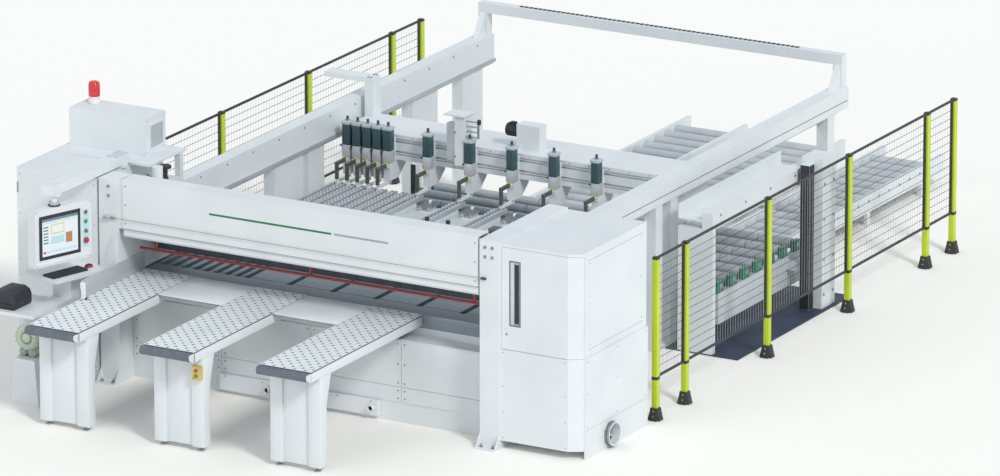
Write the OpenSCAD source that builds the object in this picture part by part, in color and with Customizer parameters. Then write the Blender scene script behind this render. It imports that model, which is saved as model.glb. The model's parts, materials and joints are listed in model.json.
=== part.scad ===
// Beam saw with rear lift loading: saw body, air tables, clamp pusher, lift table and safety fence.
// Millimetres. X runs along the saw line, Y from the operator to the rear, Z up.
// The origin lies on the floor, under the middle of the saw line.

/* [Saw body] */
// Height of every surface that carries boards
table_h = 1000; // [940:10:1060]
// Clear width between the two columns
opening_w = 3840; // [3700:20:4200]
// Width of each column
column_w = 205; // [180:5:230]
// Height of each column
column_h = 1965; // [1965:1:1970]
// Column fronts ahead of the saw line
column_front = 680; // [640:10:720]
// Column backs behind the saw line
column_rear = 600; // [560:10:640]
// Thickness of a column's foot plate
foot_t = 16; // [10:1:24]
// How far a foot plate stands out in front of its column
foot_out = 110; // [90:5:130]
// Radius of the anchor holes in the foot plates
anchor_r = 9; // [7:0.5:12]
// Distance between the two anchors of a foot plate
anchor_gap = 120; // [90:5:140]
// Wall of the welded base
base_wall = 12; // [8:1:20]
// Front and back of the base, from the saw line
base_half = 430; // [400:10:450]
// Height of the ledge in front of the table
ledge_h = 800; // [760:5:830]
// Front edge of the table, from the saw line
table_front = 230; // [200:5:260]
// Height of the table body
table_t = 130; // [110:5:150]
// Thickness of the table top
table_plate = 60; // [50:1:60]
// Width of the saw slot
slot_w = 12; // [10:1:16]
// Length of table left whole at each end of the saw slot
slot_end = 40; // [30:5:60]
// Width of the recess under each clamp
finger_w = 60; // [50:2:80]
// Depth of the recess under each clamp
finger_d = 40; // [32:1:45]
// Front end of the recesses, ahead of the saw line
finger_front = 30; // [20:1:60]
// Thickness of the screwed panels on the base
panel_t = 8; // [6:1:12]
// Height of the fold between upper and lower panels
panel_fold = 340; // [300:5:380]
// Width of the gap around each panel
panel_gap = 6; // [4:1:10]
// Number of panels side by side
panel_n = 4; // [3:1:5]
// Height of the cable duct along the foot of the base
duct_h = 150; // [120:5:170]
// Depth of the cable duct
duct_d = 50; // [40:5:80]

/* [Main beam] */
// Underside of the main beam
beam_z0 = 1430; // [1425:1:1440]
// Top of the main beam
beam_z1 = 1720; // [1680:5:1740]
// Front of the main beam, ahead of the saw line
beam_front = 440; // [400:10:460]
// Back of the main beam, behind the saw line
beam_rear = 180; // [150:5:200]
// Lower edge of the front cover
cover_z0 = 1500; // [1490:5:1520]
// Top of the front cover
cover_z1 = 1985; // [1960:5:2000]
// Depth of the cover's top face
cover_top = 200; // [160:5:220]
// Thickness of the cover's folded sheet
cover_t = 12; // [8:1:16]
// Gap between the cover and the left column
cover_gap_l = 52; // [40:1:60]
// Gap between the cover and the right column
cover_gap_r = 20; // [12:1:30]
// Depth of the press beam, across the saw line
press_d = 240; // [200:10:260]
// Height of the press beam
press_h = 220; // [180:5:240]
// Stroke of the press beam
press_stroke = 175; // [150:5:175]
// Gap between the press beam's two clamping feet
press_slot = 40; // [30:2:60]
// Radius of the red safety bar
bar_r = 14; // [10:1:18]
// Height of the safety bar
bar_z = 1270; // [1250:5:1290]
// Safety bar ahead of the saw line
bar_y = 440; // [425:5:460]

/* [Saw unit] */
// Radius of the main saw blade
blade_r = 210; // [190:5:220]
// Plate thickness of the main saw blade
blade_t = 4.4; // [3.6:0.2:5]
// Radius of the scoring blade
scorer_r = 90; // [80:5:100]
// Distance from the main blade to the scoring blade
scorer_gap = 330; // [315:5:360]
// How far the blades rise
blade_lift = 100; // [80:5:100]
// Main blade's rim under the table surface when parked
blade_under = 10; // [5:1:20]
// Radius of the main spindle
spindle_r = 25; // [20:1:30]
// Radial clearance of turning fits
run_fit = 0.05; // [0.02:0.01:0.1]
// Gap between faces that slide on each other
slide_gap = 0.3; // [0.2:0.05:0.5]
// Width of every linear rail
rail_w = 30; // [25:1:35]
// Height of every linear rail
rail_h = 20; // [16:1:24]

/* [Left end] */
// Width of the control cabinet
control_w = 870; // [800:10:940]
// Depth of the control cabinet
control_d = 1180; // [1100:10:1240]
// Height of the control cabinet
control_h = column_h - 20;
// Height of the cooler box on the cabinet
cooler_h = 365; // [320:5:400]
// Depth of the cooler box
cooler_d = 350; // [300:10:420]
// Radius of the beacon dome
dome_r = 55; // [45:1:65]
// Height of the beacon dome
dome_h = 150; // [120:5:160]
// Length of the console arm
arm_len = 1130; // [1080:10:1160]
// Width of the console arm
arm_w = 120; // [100:5:135]
// Height of the console arm
arm_t = 95; // [80:5:110]
// Underside of the console arm
arm_z = control_h + 27;
// Width of the console housing
console_w = 650; // [620:10:680]
// Height of the console housing
console_h = 550; // [530:5:570]
// Depth of the console housing
console_d = 110; // [100:2:120]
// Turn of the console's face towards the operator, degrees from +X
console_turn = 69.5; // [65:0.5:74]
// Travel of a push button
button_travel = 4; // [3:0.5:5]
// Height of the operator's desk
desk_z = 1120; // [1100:5:1140]
// Thickness of desk and shelf plates
desk_t = 30; // [20:1:40]

/* [Air tables] */
// Width of each air table
air_w = 536; // [500:4:560]
// Length of each air table
air_len = 2020; // [1900:10:2100]
// Distance from one air table to the next
air_pitch = 1227; // [1200:1:1250]
// Height of an air table's side rail
air_rail = 100; // [80:5:120]
// Left edge of the first air table, from the left column's inner face
air_left = 0; // [0:1:20]
// Radius of the roller at each front edge
end_roller_r = 42; // [38:1:44]
// Depth of a table leg box
leg_d = 200; // [180:10:220]
// Depth of the white plates between the tables
filler_d = 630; // [560:10:700]
// Height of the guide fence above the left table
guide_h = 173; // [150:1:190]
// Length of the guide fence
guide_len = 1130; // [1000:10:1200]

/* [Right cabinet] */
// Width of the right cabinet's front
cabinet_w = 698; // [660:2:720]
// Width of the slanted front corner
chamfer_w = 120; // [100:5:140]
// Depth of the slanted front corner
chamfer_d = 75; // [60:5:90]
// Height of the right cabinet
cabinet_h = column_h - 20;
// Height of the split between its upper and lower parts
split_z = 953; // [930:1:980]
// Wall of the cabinet's folded sheet
cabinet_wall = 12; // [8:1:16]
// Inner radius of the dust port
port_r = 100; // [75:1:102]
// Length of the dust port's collar
port_len = 60; // [40:5:80]

/* [Pusher] */
// Rear end of the side beams, behind the saw line
side_len = 6520; // [6400:20:6700]
// Width of a side beam
side_w = 150; // [140:2:160]
// Height of a side beam
side_h = 210; // [190:5:230]
// Underside of the side beams
side_z = 1420; // [1415:1:1425]
// Height of the rear gantry
gantry_h = 1960; // [1930:5:2000]
// Section of the rear gantry
gantry_w = 100; // [80:5:120]
// Front face of the pusher beam, behind the saw line, at rest
pusher_y = 3455; // [3450:5:3470]
// Depth of the pusher beam
pusher_d = 560; // [520:10:580]
// Underside of the pusher beam
pusher_z = 1200; // [1195:1:1205]
// Height of the pusher beam
pusher_h = 250; // [240:2:260]
// Number of close clamps at the left
close_n = 5; // [3:1:5]
// Distance between the close clamps
close_pitch = 113; // [110:1:114]
// First close clamp, from the left column's inner face
close_start = 94; // [92:1:100]
// Number of wide clamps
wide_n = 5; // [3:1:5]
// Distance between the wide clamps
wide_pitch = 460; // [440:5:465]
// First wide clamp, from the left column's inner face
wide_start = 985; // [980:1:990]
// Width of a clamp arm
clamp_w = 70; // [60:2:76]
// Width of a clamp cylinder
cylinder_w = 96; // [80:2:100]

/* [Bed] */
// Rear end of the bed's roller tracks
track_rear = 3200; // [3150:10:3220]
// Depth of a roller track
track_h = 55; // [45:1:60]
// Width of one bar of a roller track
track_w = 26; // [22:1:28]
// Half the gap between the two bars of a track
track_gap = 23; // [20:1:25]
// Section of the bed's cross beams
bed_beam = 100; // [80:5:120]

/* [Lift and infeed] */
// Right side of the lift platform
lift_x1 = 2370; // [2350:5:2390]
// Left side of the lift platform
lift_x0 = -1680; // [-1700:5:-1660]
// Front of the lift platform
lift_y0 = 3090; // [3060:5:3110]
// Rear of the lift platform
lift_y1 = 4790; // [4780:5:4810]
// Width of the lift's side rails
lift_rail_w = 60; // [50:2:70]
// Top of the lift's side rails at rest
lift_rail_z = 500; // [480:5:510]
// Height of the lift's side rails
lift_rail_h = 300; // [260:5:310]
// Radius of a lift roller
lift_roller_r = 50; // [40:1:55]
// Number of lift rollers
lift_roller_n = 7; // [5:1:7]
// Lift travel up from rest
lift_up = 290; // [250:5:300]
// Top of the infeed rollers
infeed_h = 300; // [280:5:320]
// Width of an infeed conveyor
infeed_w = 690; // [660:5:700]
// Distance between infeed conveyors
infeed_pitch = 1105; // [1090:5:1120]
// Left side of the first infeed conveyor
infeed_x = -1080; // [-1100:5:-1060]
// Front end of the infeed conveyors
infeed_y0 = 4830; // [4830:5:4860]
// Rear end of the infeed conveyors
infeed_y1 = 8920; // [8700:20:9000]
// Number of infeed conveyors
infeed_n = 3; // [2:1:3]
// Distance between infeed rollers
infeed_step = 222; // [200:2:260]

/* [Safety fence] */
// Height of the fence posts
fence_h = 1564; // [1500:4:1600]
// Width of a fence post
fence_post = 56; // [50:1:60]
// Height of the gap under the mesh panels
fence_gap = 400; // [350:5:430]
// Thickness of a mesh panel with its frame
mesh_t = 20; // [16:1:26]

/* [Hidden] */
$fn = 48;
half = opening_w / 2;
column_out = half + column_w;
table_z0 = table_h - table_t;

module box(lo, hi) translate(lo) cube(hi - lo);

// A closed box of sheet
module shell(lo, hi, wall = 10) difference() {
    box(lo, hi);
    box(lo + [wall, wall, wall], hi - [wall, wall, wall]);
}

// A bar along X whose outline is given in Y and Z
module bar_x(x0, x1, outline)
    translate([x0, 0, 0]) rotate([90, 0, 90]) linear_extrude(x1 - x0) polygon(outline);

// A bar along Y whose outline is given in X and Z
module bar_y(y0, y1, outline)
    translate([0, y1, 0]) rotate([90, 0, 0]) linear_extrude(y1 - y0) polygon(outline);

module round_x(x0, x1, y, z, r) translate([x0, y, z]) rotate([0, 90, 0]) cylinder(h = x1 - x0, r = r);

module round_y(y0, y1, x, z, r) translate([x, y0, z]) rotate([-90, 0, 0]) cylinder(h = y1 - y0, r = r);

module round_z(z0, z1, x, y, r) translate([x, y, z0]) cylinder(h = z1 - z0, r = r);

// Saw body

duct_x0 = -0.25 * opening_w;
duct_x1 = 0.19 * opening_w;
duct_z0 = 40;
duct_port_r = 28;
duct_port_len = 35;
duct_port_inset = 60;
bearer_w = 90;
bearer_y = 250;
bearer_top = 250;
base_floor = 20;
// Top of the base's left end, above the raised scoring blade
end_top = table_h + 10;

module machine_base() {
    color("whitesmoke") {
        difference() {
            union() {
                bar_x(-half, half, [[-base_half, 0], [base_half, 0], [base_half, table_z0],
                    [-table_front, table_z0], [-table_front, ledge_h], [-base_half, ledge_h]]);
                box([-column_out, -base_half, 0], [-half, base_half, end_top]);
            }
            box([-column_out + base_wall, -base_half + base_wall, base_floor],
                [-half + 1, base_half - base_wall, end_top + 1]);
            bar_x(-half - base_wall, half - base_wall, [
                [-base_half + base_wall, base_floor], [base_half - base_wall, base_floor],
                [base_half - base_wall, table_z0 + 1], [-table_front + base_wall, table_z0 + 1],
                [-table_front + base_wall, ledge_h - base_wall], [-base_half + base_wall, ledge_h - base_wall]
            ]);
        }
        for (y = [-bearer_y, bearer_y])
            box([-column_out + base_wall, y - bearer_w / 2, base_floor],
                [half - base_wall, y + bearer_w / 2, bearer_top]);
        cable_duct();
    }
}

module cable_duct() {
    duct_front = -base_half - duct_d;
    difference() {
        box([duct_x0, duct_front, duct_z0], [duct_x1, -base_half, duct_z0 + duct_h]);
        for (x = duct_port_xs()) round_y(duct_front - 1, -base_half - 1, x, duct_z0 + duct_h / 2, duct_port_r - 6);
    }
    for (x = duct_port_xs()) difference() {
        round_y(duct_front - duct_port_len, duct_front, x, duct_z0 + duct_h / 2, duct_port_r);
        round_y(duct_front - duct_port_len - 1, duct_front + 1, x, duct_z0 + duct_h / 2, duct_port_r - 6);
    }
}

function duct_port_xs() = [duct_x0 + (duct_x1 - duct_x0) / 3, duct_x1 - duct_port_inset];

module front_panels() {
    step = opening_w / panel_n;
    color("white") for (i = [0 : panel_n - 1]) {
        x0 = -half + i * step + panel_gap / 2;
        x1 = x0 + step - panel_gap;
        box([x0, -base_half - panel_t, panel_fold + panel_gap], [x1, -base_half, ledge_h - 2 * panel_gap]);
        box([x0, -base_half - panel_t, duct_z0 + duct_h + panel_gap], [x1, -base_half, panel_fold]);
    }
}

// Middle of every clamp, close ones first
clamp_xs = concat(
    [for (i = [0 : close_n - 1]) -half + close_start + i * close_pitch],
    [for (i = [0 : wide_n - 1]) -half + wide_start + i * wide_pitch]
);
// Middle of every roller track: the close ones run on up to the first wide one
close_track_n = floor((wide_start - close_start - 2 * (track_gap + track_w)) / close_pitch) + 1;
last_wide = wide_start + wide_n * wide_pitch;
track_xs = concat(
    [for (i = [0 : close_track_n - 1]) -half + close_start + i * close_pitch],
    [for (x = [wide_start : wide_pitch : min(last_wide, opening_w - wide_pitch)]) -half + x]
);

module work_table() {
    rib = 20;
    color("slategray") difference() {
        box([-half, -table_front, table_z0], [half, base_half, table_h]);
        box([-half - 1, -table_front + rib, table_z0 - 1], [half - rib, base_half - rib, table_h - table_plate]);
        box([-half - 1, -slot_w / 2, table_z0], [half - slot_end, slot_w / 2, table_h + 1]);
        for (x = track_xs)
            box([x - finger_w / 2, -finger_front, table_h - finger_d], [x + finger_w / 2, base_half + 1, table_h + 1]);
    }
}

side_rail_z = side_z - 70;
left_web = -half - 60;
right_web = half - 100;
web_t = 20;
pusher_rail_y0 = column_rear + 8;

module linear_rails() {
    color("silver") {
        for (y = [-bearer_y, bearer_y])
            box([-column_out + base_wall, y - rail_w / 2, bearer_top],
                [half - base_wall, y + rail_w / 2, bearer_top + rail_h]);
        box([left_web, pusher_rail_y0, side_rail_z], [left_web + rail_h, side_len, side_rail_z + rail_w]);
        box([right_web - rail_h, pusher_rail_y0, side_rail_z], [right_web, side_len, side_rail_z + rail_w]);
    }
}

beam_wall = 12;

module bridge_beam() {
    color("gainsboro") {
        difference() {
            box([-half, -beam_front, beam_z0], [half, beam_rear, beam_z1]);
            box([-half + beam_wall, -beam_front + beam_wall, beam_z0 + beam_wall],
                [half - beam_wall, beam_rear - beam_wall, beam_z1 - beam_wall]);
            for (x = guide_xs()) round_z(beam_z0 - 1, beam_z0 + beam_wall + 1, x, 0, guide_r + run_fit);
        }
        lift_motor();
    }
}

// Motor that lowers the press beam, at the left end on top of the main beam
module lift_motor() {
    motor_x = -half + 90;
    motor_y = -120;
    motor_r = 55;
    gear_h = 60;
    motor_h = 190;
    box([motor_x - motor_r, motor_y - motor_r, beam_z1], [motor_x + motor_r, motor_y + motor_r, beam_z1 + gear_h]);
    round_z(beam_z1 + gear_h, beam_z1 + gear_h + motor_h, motor_x, motor_y, motor_r - 5);
}

cover_x0 = -half + cover_gap_l;
cover_x1 = half - cover_gap_r;
lip_z = beam_z0 - 6;

module beam_cover() {
    back = -column_front + cover_top;
    color("white") {
        bar_x(cover_x0, cover_x1, [[-column_front, cover_z0], [-column_front, cover_z1], [back, cover_z1],
            [back, beam_z1 + cover_t], [back - cover_t, beam_z1 + cover_t], [back - cover_t, cover_z1 - cover_t],
            [-column_front + cover_t, cover_z1 - cover_t], [-column_front + cover_t, cover_z0]]);
        bar_x(cover_x0, cover_x1, [[back - cover_t, beam_z1 + cover_t], [-beam_front, beam_z1 + cover_t],
            [-beam_front, beam_z1], [back - cover_t, beam_z1]]);
        bar_x(cover_x0, cover_x1, [[-column_front + cover_t, cover_z0 + 30], [-beam_front, cover_z0 - 4],
            [-beam_front, cover_z0 - 16], [-column_front + 30, lip_z], [-column_front + cover_t, lip_z + 20]]);
    }
}

press_z = beam_z0 - 32 - press_h;
guide_r = 22;
guide_inset = 320;

// Two clamping feet under one beam, hung on guide rods that slide into the main beam's underside
module press_beam() {
    wall = 10;
    color("dimgray") difference() {
        box([cover_x0, -press_d / 2, press_z], [cover_x1, press_d / 2, press_z + press_h]);
        box([cover_x0 - 1, -press_slot / 2, press_z - 1], [cover_x1 + 1, press_slot / 2, press_z + press_h / 2 - wall]);
        box([cover_x0 + wall, -press_d / 2 + wall, press_z + press_h / 2],
            [cover_x1 - wall, press_d / 2 - wall, press_z + press_h - wall]);
    }
    color("silver") for (x = guide_xs()) round_z(press_z + press_h, beam_z0 + press_stroke + 30, x, 0, guide_r);
}

function guide_xs() = [-half + guide_inset, half - guide_inset];

hanger_t = 24;
hanger_boss_r = 19.7;
bar_pivot_z = beam_z0 - hanger_boss_r - slide_gap;
bar_pivot_y = -beam_front + 20;

// Red trip bar on three hangers that swing on a shaft under the main beam
module safety_bar() {
    color("firebrick") {
        round_x(cover_x0 + 40, cover_x1 - 40, -bar_y, bar_z, bar_r);
        for (x = [-half + 270, 0, half - 190]) {
            round_x(x - hanger_t / 2, x + hanger_t / 2, bar_pivot_y, bar_pivot_z, hanger_boss_r);
            bar_x(x - hanger_t / 2, x + hanger_t / 2, [
                [-bar_y - bar_r / 2, bar_z], [-bar_y + bar_r / 2, bar_z], [bar_pivot_y + 10, bar_pivot_z],
                [bar_pivot_y - 10, bar_pivot_z]
            ]);
        }
    }
}

// Columns

module column_foot(x0, x1) {
    rib_t = 10;
    rib_h = 120;
    difference() {
        box([x0, -column_front - foot_out, 0], [x1, -column_front, foot_t]);
        for (s = [-1, 1]) round_z(-1, foot_t + 1, (x0 + x1) / 2 + s * anchor_gap / 2, anchor_y(), anchor_r);
    }
    for (x = [x0, x1 - rib_t])
        bar_x(x, x + rib_t, [[-column_front - foot_out * 0.8, foot_t], [-column_front, foot_t],
            [-column_front, foot_t + rib_h]]);
}

function anchor_y() = -column_front - foot_out / 2;

module left_column() {
    color("white") {
        shell([-column_out, -column_front, 0], [-half, -base_half, column_h]);
        shell([-column_out, -base_half, end_top], [-half, base_half, beam_z1]);
        column_foot(-column_out, -half);
    }
}

module right_column() {
    color("white") {
        shell([half, -column_front, 0], [column_out, column_rear, column_h]);
        column_foot(half, column_out);
        wire_hook();
    }
}

wire_z = 1600;
wire_y = -column_front - 14;
hook_t = 14;

// Small post on the right column that holds the end of the pull wire
module wire_hook() {
    hook_x = half + 60;
    box([hook_x - hook_t / 2, wire_y - hook_t / 2, wire_z - hook_t / 2],
        [hook_x + hook_t / 2, -column_front, wire_z + hook_t / 2]);
}

bolt_r = 11;
bolt_h = 8;

module column_bolts() {
    color("silver") {
        for (z = [column_h - 70, column_h - 160]) {
            round_y(-column_front - bolt_h, -column_front, -half - column_w / 2, z, bolt_r);
            for (x = [half + 55, half + 130]) round_y(-column_front - bolt_h, -column_front, x, z, bolt_r);
        }
    }
}

switch_w = 70;
switch_h = 36;

module pull_switch() {
    color("lightgray") {
        box([-half - 150, wire_y - switch_h / 2, wire_z - switch_h / 2],
            [-half - 150 + switch_w, -column_front, wire_z + switch_h / 2]);
        round_x(-half - 150 + switch_w, -half - 20, wire_y, wire_z, 7);
    }
}

wire_r = 2.5;

module pull_wire() {
    color("peru") round_x(-half - 20, half + 60 - hook_t / 2, wire_y, wire_z, wire_r);
}

roof_t = 20;
roof_front = -110;
roof_rear = 550;

// Plate over the drives at the left end, on a post of its own behind the left column
module roof_plate() {
    post_w = 60;
    color("white") {
        box([control_x0 + 40, roof_front, control_h], [-half, control_rear, control_h + roof_t]);
        box([control_x1 + 10, control_rear, control_h], [-half, roof_rear, control_h + roof_t]);
        shell([-half - post_w, base_half, 0], [-half, base_half + post_w, control_h], 5);
    }
}

// Saw unit, parked at the right end

park_x = half - slot_end - blade_r - 10;
spindle_z = table_h - blade_under - blade_r;
scorer_x = park_x - scorer_gap;
scorer_spindle_r = 15;
scorer_flange_r = 24;
scorer_z = spindle_z + blade_r - scorer_r - (blade_lift - blade_under) + 3;
carriage_x0 = scorer_x - 100;
carriage_x1 = park_x + 150;
carriage_z = bearer_top + rail_h + 30;
block_y0 = 25;
block_y1 = 300;
upright_t = 30;

module saw_carriage() {
    plate_half = bearer_y + 90;
    truck_w = 70;
    color("gray") {
        box([carriage_x0, -plate_half, carriage_z], [carriage_x1, plate_half, carriage_z + 30]);
        for (x = [carriage_x0, carriage_x1 - 120]) for (y = [-bearer_y, bearer_y]) difference() {
            box([x, y - truck_w / 2, bearer_top + 4], [x + 120, y + truck_w / 2, carriage_z]);
            box([x - 1, y - rail_w / 2 - slide_gap, bearer_top], [x + 121, y + rail_w / 2 + slide_gap,
                bearer_top + rail_h + slide_gap]);
        }
        box([carriage_x0, block_y1 + slide_gap, carriage_z + 30],
            [carriage_x1, block_y1 + slide_gap + upright_t, table_h - table_plate - 60]);
    }
}

module arbor_block() {
    plate_t = 24;
    block_r = 50;
    motor_r = 95;
    motor_z = spindle_z - 200;
    color("darkslategray") difference() {
        union() {
            box([park_x - 110, block_y0, spindle_z - block_r], [park_x + 110, block_y1 - plate_t, spindle_z + block_r]);
            box([scorer_x - 60, block_y0, scorer_z - 40], [scorer_x + 60, block_y1 - plate_t, scorer_z + 22]);
            box([scorer_x - 60, block_y1 - plate_t, motor_z - motor_r], [park_x + 110, block_y1, spindle_z + block_r]);
            round_y(block_y0 + 30, block_y1 - plate_t, park_x, motor_z, motor_r);
            round_y(block_y0 + 30, block_y1 - plate_t, scorer_x, motor_z, motor_r - 35);
        }
        round_y(block_y0 - 1, block_y1 - plate_t, park_x, spindle_z, spindle_r + run_fit);
        round_y(block_y0 - 1, block_y1 - plate_t, scorer_x, scorer_z, scorer_spindle_r + run_fit);
    }
}

// A blade with its flange and spindle, turned as one
module blade_on_spindle(x, z, r, shaft_r, flange_r) {
    flange_t = 14;
    round_y(-blade_t / 2, blade_t / 2, x, z, r);
    round_y(-flange_t, -blade_t / 2, x, z, flange_r);
    round_y(blade_t / 2, flange_t, x, z, flange_r);
    round_y(-flange_t - 10, block_y1 - 40, x, z, shaft_r);
}

module main_blade() color("lightsteelblue") blade_on_spindle(park_x, spindle_z, blade_r, spindle_r, 55);

module scoring_blade()
    color("lightsteelblue") blade_on_spindle(scorer_x, scorer_z, scorer_r, scorer_spindle_r, scorer_flange_r);

// Left end

control_x1 = -column_out - 25;
control_x0 = control_x1 - control_w;
control_rear = -column_front + control_d;

module control_cabinet() {
    front = -column_front;
    seam = 4;
    color("white") difference() {
        box([control_x0, front, 0], [control_x1, front + control_d, control_h]);
        box([control_x0 + base_wall, front + base_wall, base_wall],
            [control_x1 - base_wall, front + control_d - base_wall, control_h - base_wall]);
        box([control_x0 - 1, front - 1, split_z - seam], [control_x1 + 1, front + seam, split_z]);
    }
    color("white") box([control_x1, front + 60, 0], [-column_out, front + 90, control_h]);
}

cooler_x0 = control_x0 + 80;
cooler_x1 = control_x1 + 50;
cooler_y = 120;
cooler_z = control_h + roof_t;

module cabinet_cooler() {
    grille_t = 12;
    grille_y = 60;
    color("white") {
        shell([cooler_x0, cooler_y, cooler_z], [cooler_x1, cooler_y + cooler_d, cooler_z + cooler_h], 8);
        box([cooler_x1, cooler_y + grille_y, cooler_z + 70],
            [cooler_x1 + grille_t, cooler_y + cooler_d - grille_y, cooler_z + cooler_h - 70]);
    }
}

module signal_beacon() {
    beacon_x = cooler_x0 + 130;
    beacon_y = cooler_y + cooler_d - 110;
    base_h = 70;
    z0 = cooler_z + cooler_h;
    color("whitesmoke") round_z(z0, z0 + base_h, beacon_x, beacon_y, dome_r + 5);
    color("red") round_z(z0 + base_h, z0 + base_h + dome_h, beacon_x, beacon_y, dome_r);
}

arm_base = [control_x1 - 35, -200, arm_z];
arm_lean = 1;
arm_boss_r = 70;
arm_tip = arm_base + [-arm_len * sin(arm_lean), -arm_len * cos(arm_lean), 0];

module arm_frame() translate(arm_base) rotate([0, 0, -arm_lean]) children();

// Carried on a turned boss that sits on the control cabinet's roof edge
module console_arm() {
    color("white") {
        arm_frame() {
            box([-arm_w / 2, -arm_len - 110, 0], [arm_w / 2, 80, arm_t]);
            round_z(control_h + slide_gap - arm_z, 0, 0, 0, arm_boss_r);
        }
    }
}

module console_frame()
    translate([arm_tip[0], arm_tip[1], arm_z - slide_gap]) rotate([0, 0, console_turn]) children();

neck_h = 120;
neck_r = 32;
flange_h = 22;
console_shift = 60;
face_y = -console_d / 2;
console_top = -neck_h;
screen_w = 430;
screen_h = 380;
screen_z = console_top - 80 - screen_h;
button_r = 15;
button_hole = 10;
screen_x = console_shift - console_w / 2 + 45;
button_x = console_shift + console_w / 2 - 65;

// Local frame of the console: X runs along its width, -Y is its face, the pivot is at the origin
module console_housing() {
    console_frame() color("white") {
        round_z(-neck_h, 0, 0, 0, neck_r);
        round_z(-flange_h, 0, 0, 0, 2 * neck_r);
        difference() {
            box([console_shift - console_w / 2, face_y, console_top - console_h],
                [console_shift + console_w / 2, -face_y, console_top]);
            box([screen_x, face_y - 1, screen_z], [screen_x + screen_w, face_y + 20, screen_z + screen_h]);
            for (i = [0 : 3]) button_bore(i);
        }
    }
}

function button_z(i) = console_top - 110 - i * 90;

module button_bore(i) round_y(face_y - 1, face_y + 60, button_x, button_z(i), button_hole + run_fit);

module console_screen()
    console_frame() color("darkslategray")
        box([screen_x + 1, face_y - 4, screen_z + 1],
            [screen_x + screen_w - 1, face_y + 20, screen_z + screen_h - 1]);

module push_button(i, head_r, head_h, stem) {
    reach = button_travel + slide_gap;
    round_y(face_y - reach - head_h, face_y - reach, button_x, button_z(i), head_r);
    round_y(face_y - reach, face_y + stem, button_x, button_z(i), button_hole);
}

module start_button() console_frame() color("green") push_button(1, button_r, 10, 30);

module stop_button() console_frame() color("red") push_button(0, button_r, 10, 30);

module key_switch() console_frame() color("silver") {
    push_button(2, button_r, 6, 30);
    box([button_x - 3, face_y - button_travel - 30, button_z(2) - 14],
        [button_x + 3, face_y - button_travel - 6, button_z(2) + 14]);
}

module emergency_stop() console_frame() color("crimson") push_button(3, 24, 22, 30);

desk_front = [-half - 274, -1326];
desk_turn = 18;
desk_len = 665;
desk_d = 450;
stand_h = 450;

module desk_frame() translate([desk_front[0], desk_front[1], 0]) rotate([0, 0, -desk_turn]) children();

// Desk plate with its bracket, and the stand with the printer shelf
module operator_desk() {
    color("white") {
        difference() {
            desk_frame() box([-desk_d, 0, desk_z - desk_t], [0, desk_len, desk_z]);
            box([control_x0, -column_front, 0], [0, 0, desk_z + 1]);
        }
    }
    operator_stand();
}

stand_x0 = -half - 550;
stand_x1 = -half - 253;
stand_y = -1700;
shelf_z = 835;

module operator_stand() {
    depth = 260;
    color("white") {
        bar_y(stand_y, stand_y + depth, [[stand_x0, 0], [stand_x1, 0], [stand_x1 - 40, stand_h],
            [stand_x0 + 40, stand_h]]);
        shell([stand_x0 - 20, stand_y + depth, 0], [stand_x1 - 120, -column_front, shelf_z - desk_t], 6);
        box([stand_x0 - 380, stand_y + 120, shelf_z - desk_t], [stand_x1 - 120, -column_front - 300, shelf_z]);
        shell([stand_x0 - 20, -column_front - 240, shelf_z], [stand_x1 - 120, -column_front, desk_z - desk_t], 6);
        box([stand_x0 - 20, -column_front - 300, shelf_z - desk_t], [stand_x1 - 120, -column_front, shelf_z]);
    }
}

module keyboard() {
    color("dimgray") desk_frame() {
        box([-230, 20, desk_z], [-70, 450, desk_z + 22]);
        box([-190, 475, desk_z], [-120, 565, desk_z + 34]);
    }
}

module label_printer() {
    color("black") translate([stand_x0 - 200, stand_y + 330, shelf_z])
        bar_y(-150, 150, [[-140, 0], [140, 0], [140, 110], [100, 170], [-100, 170], [-140, 110]]);
}

module ring_blower() {
    blower_x = (stand_x0 + stand_x1) / 2 - 20;
    blower_y = stand_y + 60;
    blower_r = 130;
    foot_h = 70;
    blower_z = stand_h + foot_h + blower_r - 15;
    color("lightgreen") {
        difference() {
            round_y(blower_y, blower_y + 110, blower_x, blower_z, blower_r);
            round_y(blower_y - 1, blower_y + 20, blower_x, blower_z, blower_r - 40);
        }
        round_y(blower_y + 110, blower_y + 190, blower_x, blower_z, 70);
        box([blower_x - 90, blower_y, stand_h], [blower_x + 90, blower_y + 170, stand_h + foot_h]);
    }
}

// Air tables

air_y1 = -table_front;
air_y0 = air_y1 - air_len;
air_x = [for (i = [0 : 2]) -half + air_left + i * air_pitch];
top_t = 20;
leg_y = air_y0 + 160;
leg_x = 10;
leg_foot = 45;
foot_r = 34;
filler_t = 12;

module air_table_tops() {
    color("whitesmoke") {
        for (x = air_x) difference() {
            box([x, air_y0, table_h - air_rail], [x + air_w, air_y1, table_h]);
            box([x + 20, air_y0 + 20, table_h - air_rail - 1], [x + air_w - 20, air_y1 - 20, table_h - top_t]);
        }
        for (i = [0, 1])
            box([air_x[i] + air_w, air_y1 - filler_d, table_h - filler_t], [air_x[i + 1], air_y1, table_h]);
    }
    color("gray") roller_ears();
}

ear_t = 12;
roller_y = air_y0 - end_roller_r - 6;
roller_z = table_h - end_roller_r + 6;
journal_r = 10;

// Two cheeks per table that carry the front roller's journals
module roller_ears() {
    for (x = air_x) for (e = [x, x + air_w - ear_t]) difference() {
        box([e, roller_y - 26, roller_z - 28], [e + ear_t, air_y0, roller_z + 24]);
        round_x(e - 1, e + ear_t + 1, roller_y, roller_z, journal_r + run_fit);
    }
}

module end_roller(i) color("dimgray") {
    x0 = air_x[i] + ear_t + slide_gap;
    x1 = air_x[i] + air_w - ear_t - slide_gap;
    round_x(x0, x1, roller_y, roller_z, end_roller_r);
    round_x(x0 - ear_t, x1 + ear_t, roller_y, roller_z, journal_r);
}

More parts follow.
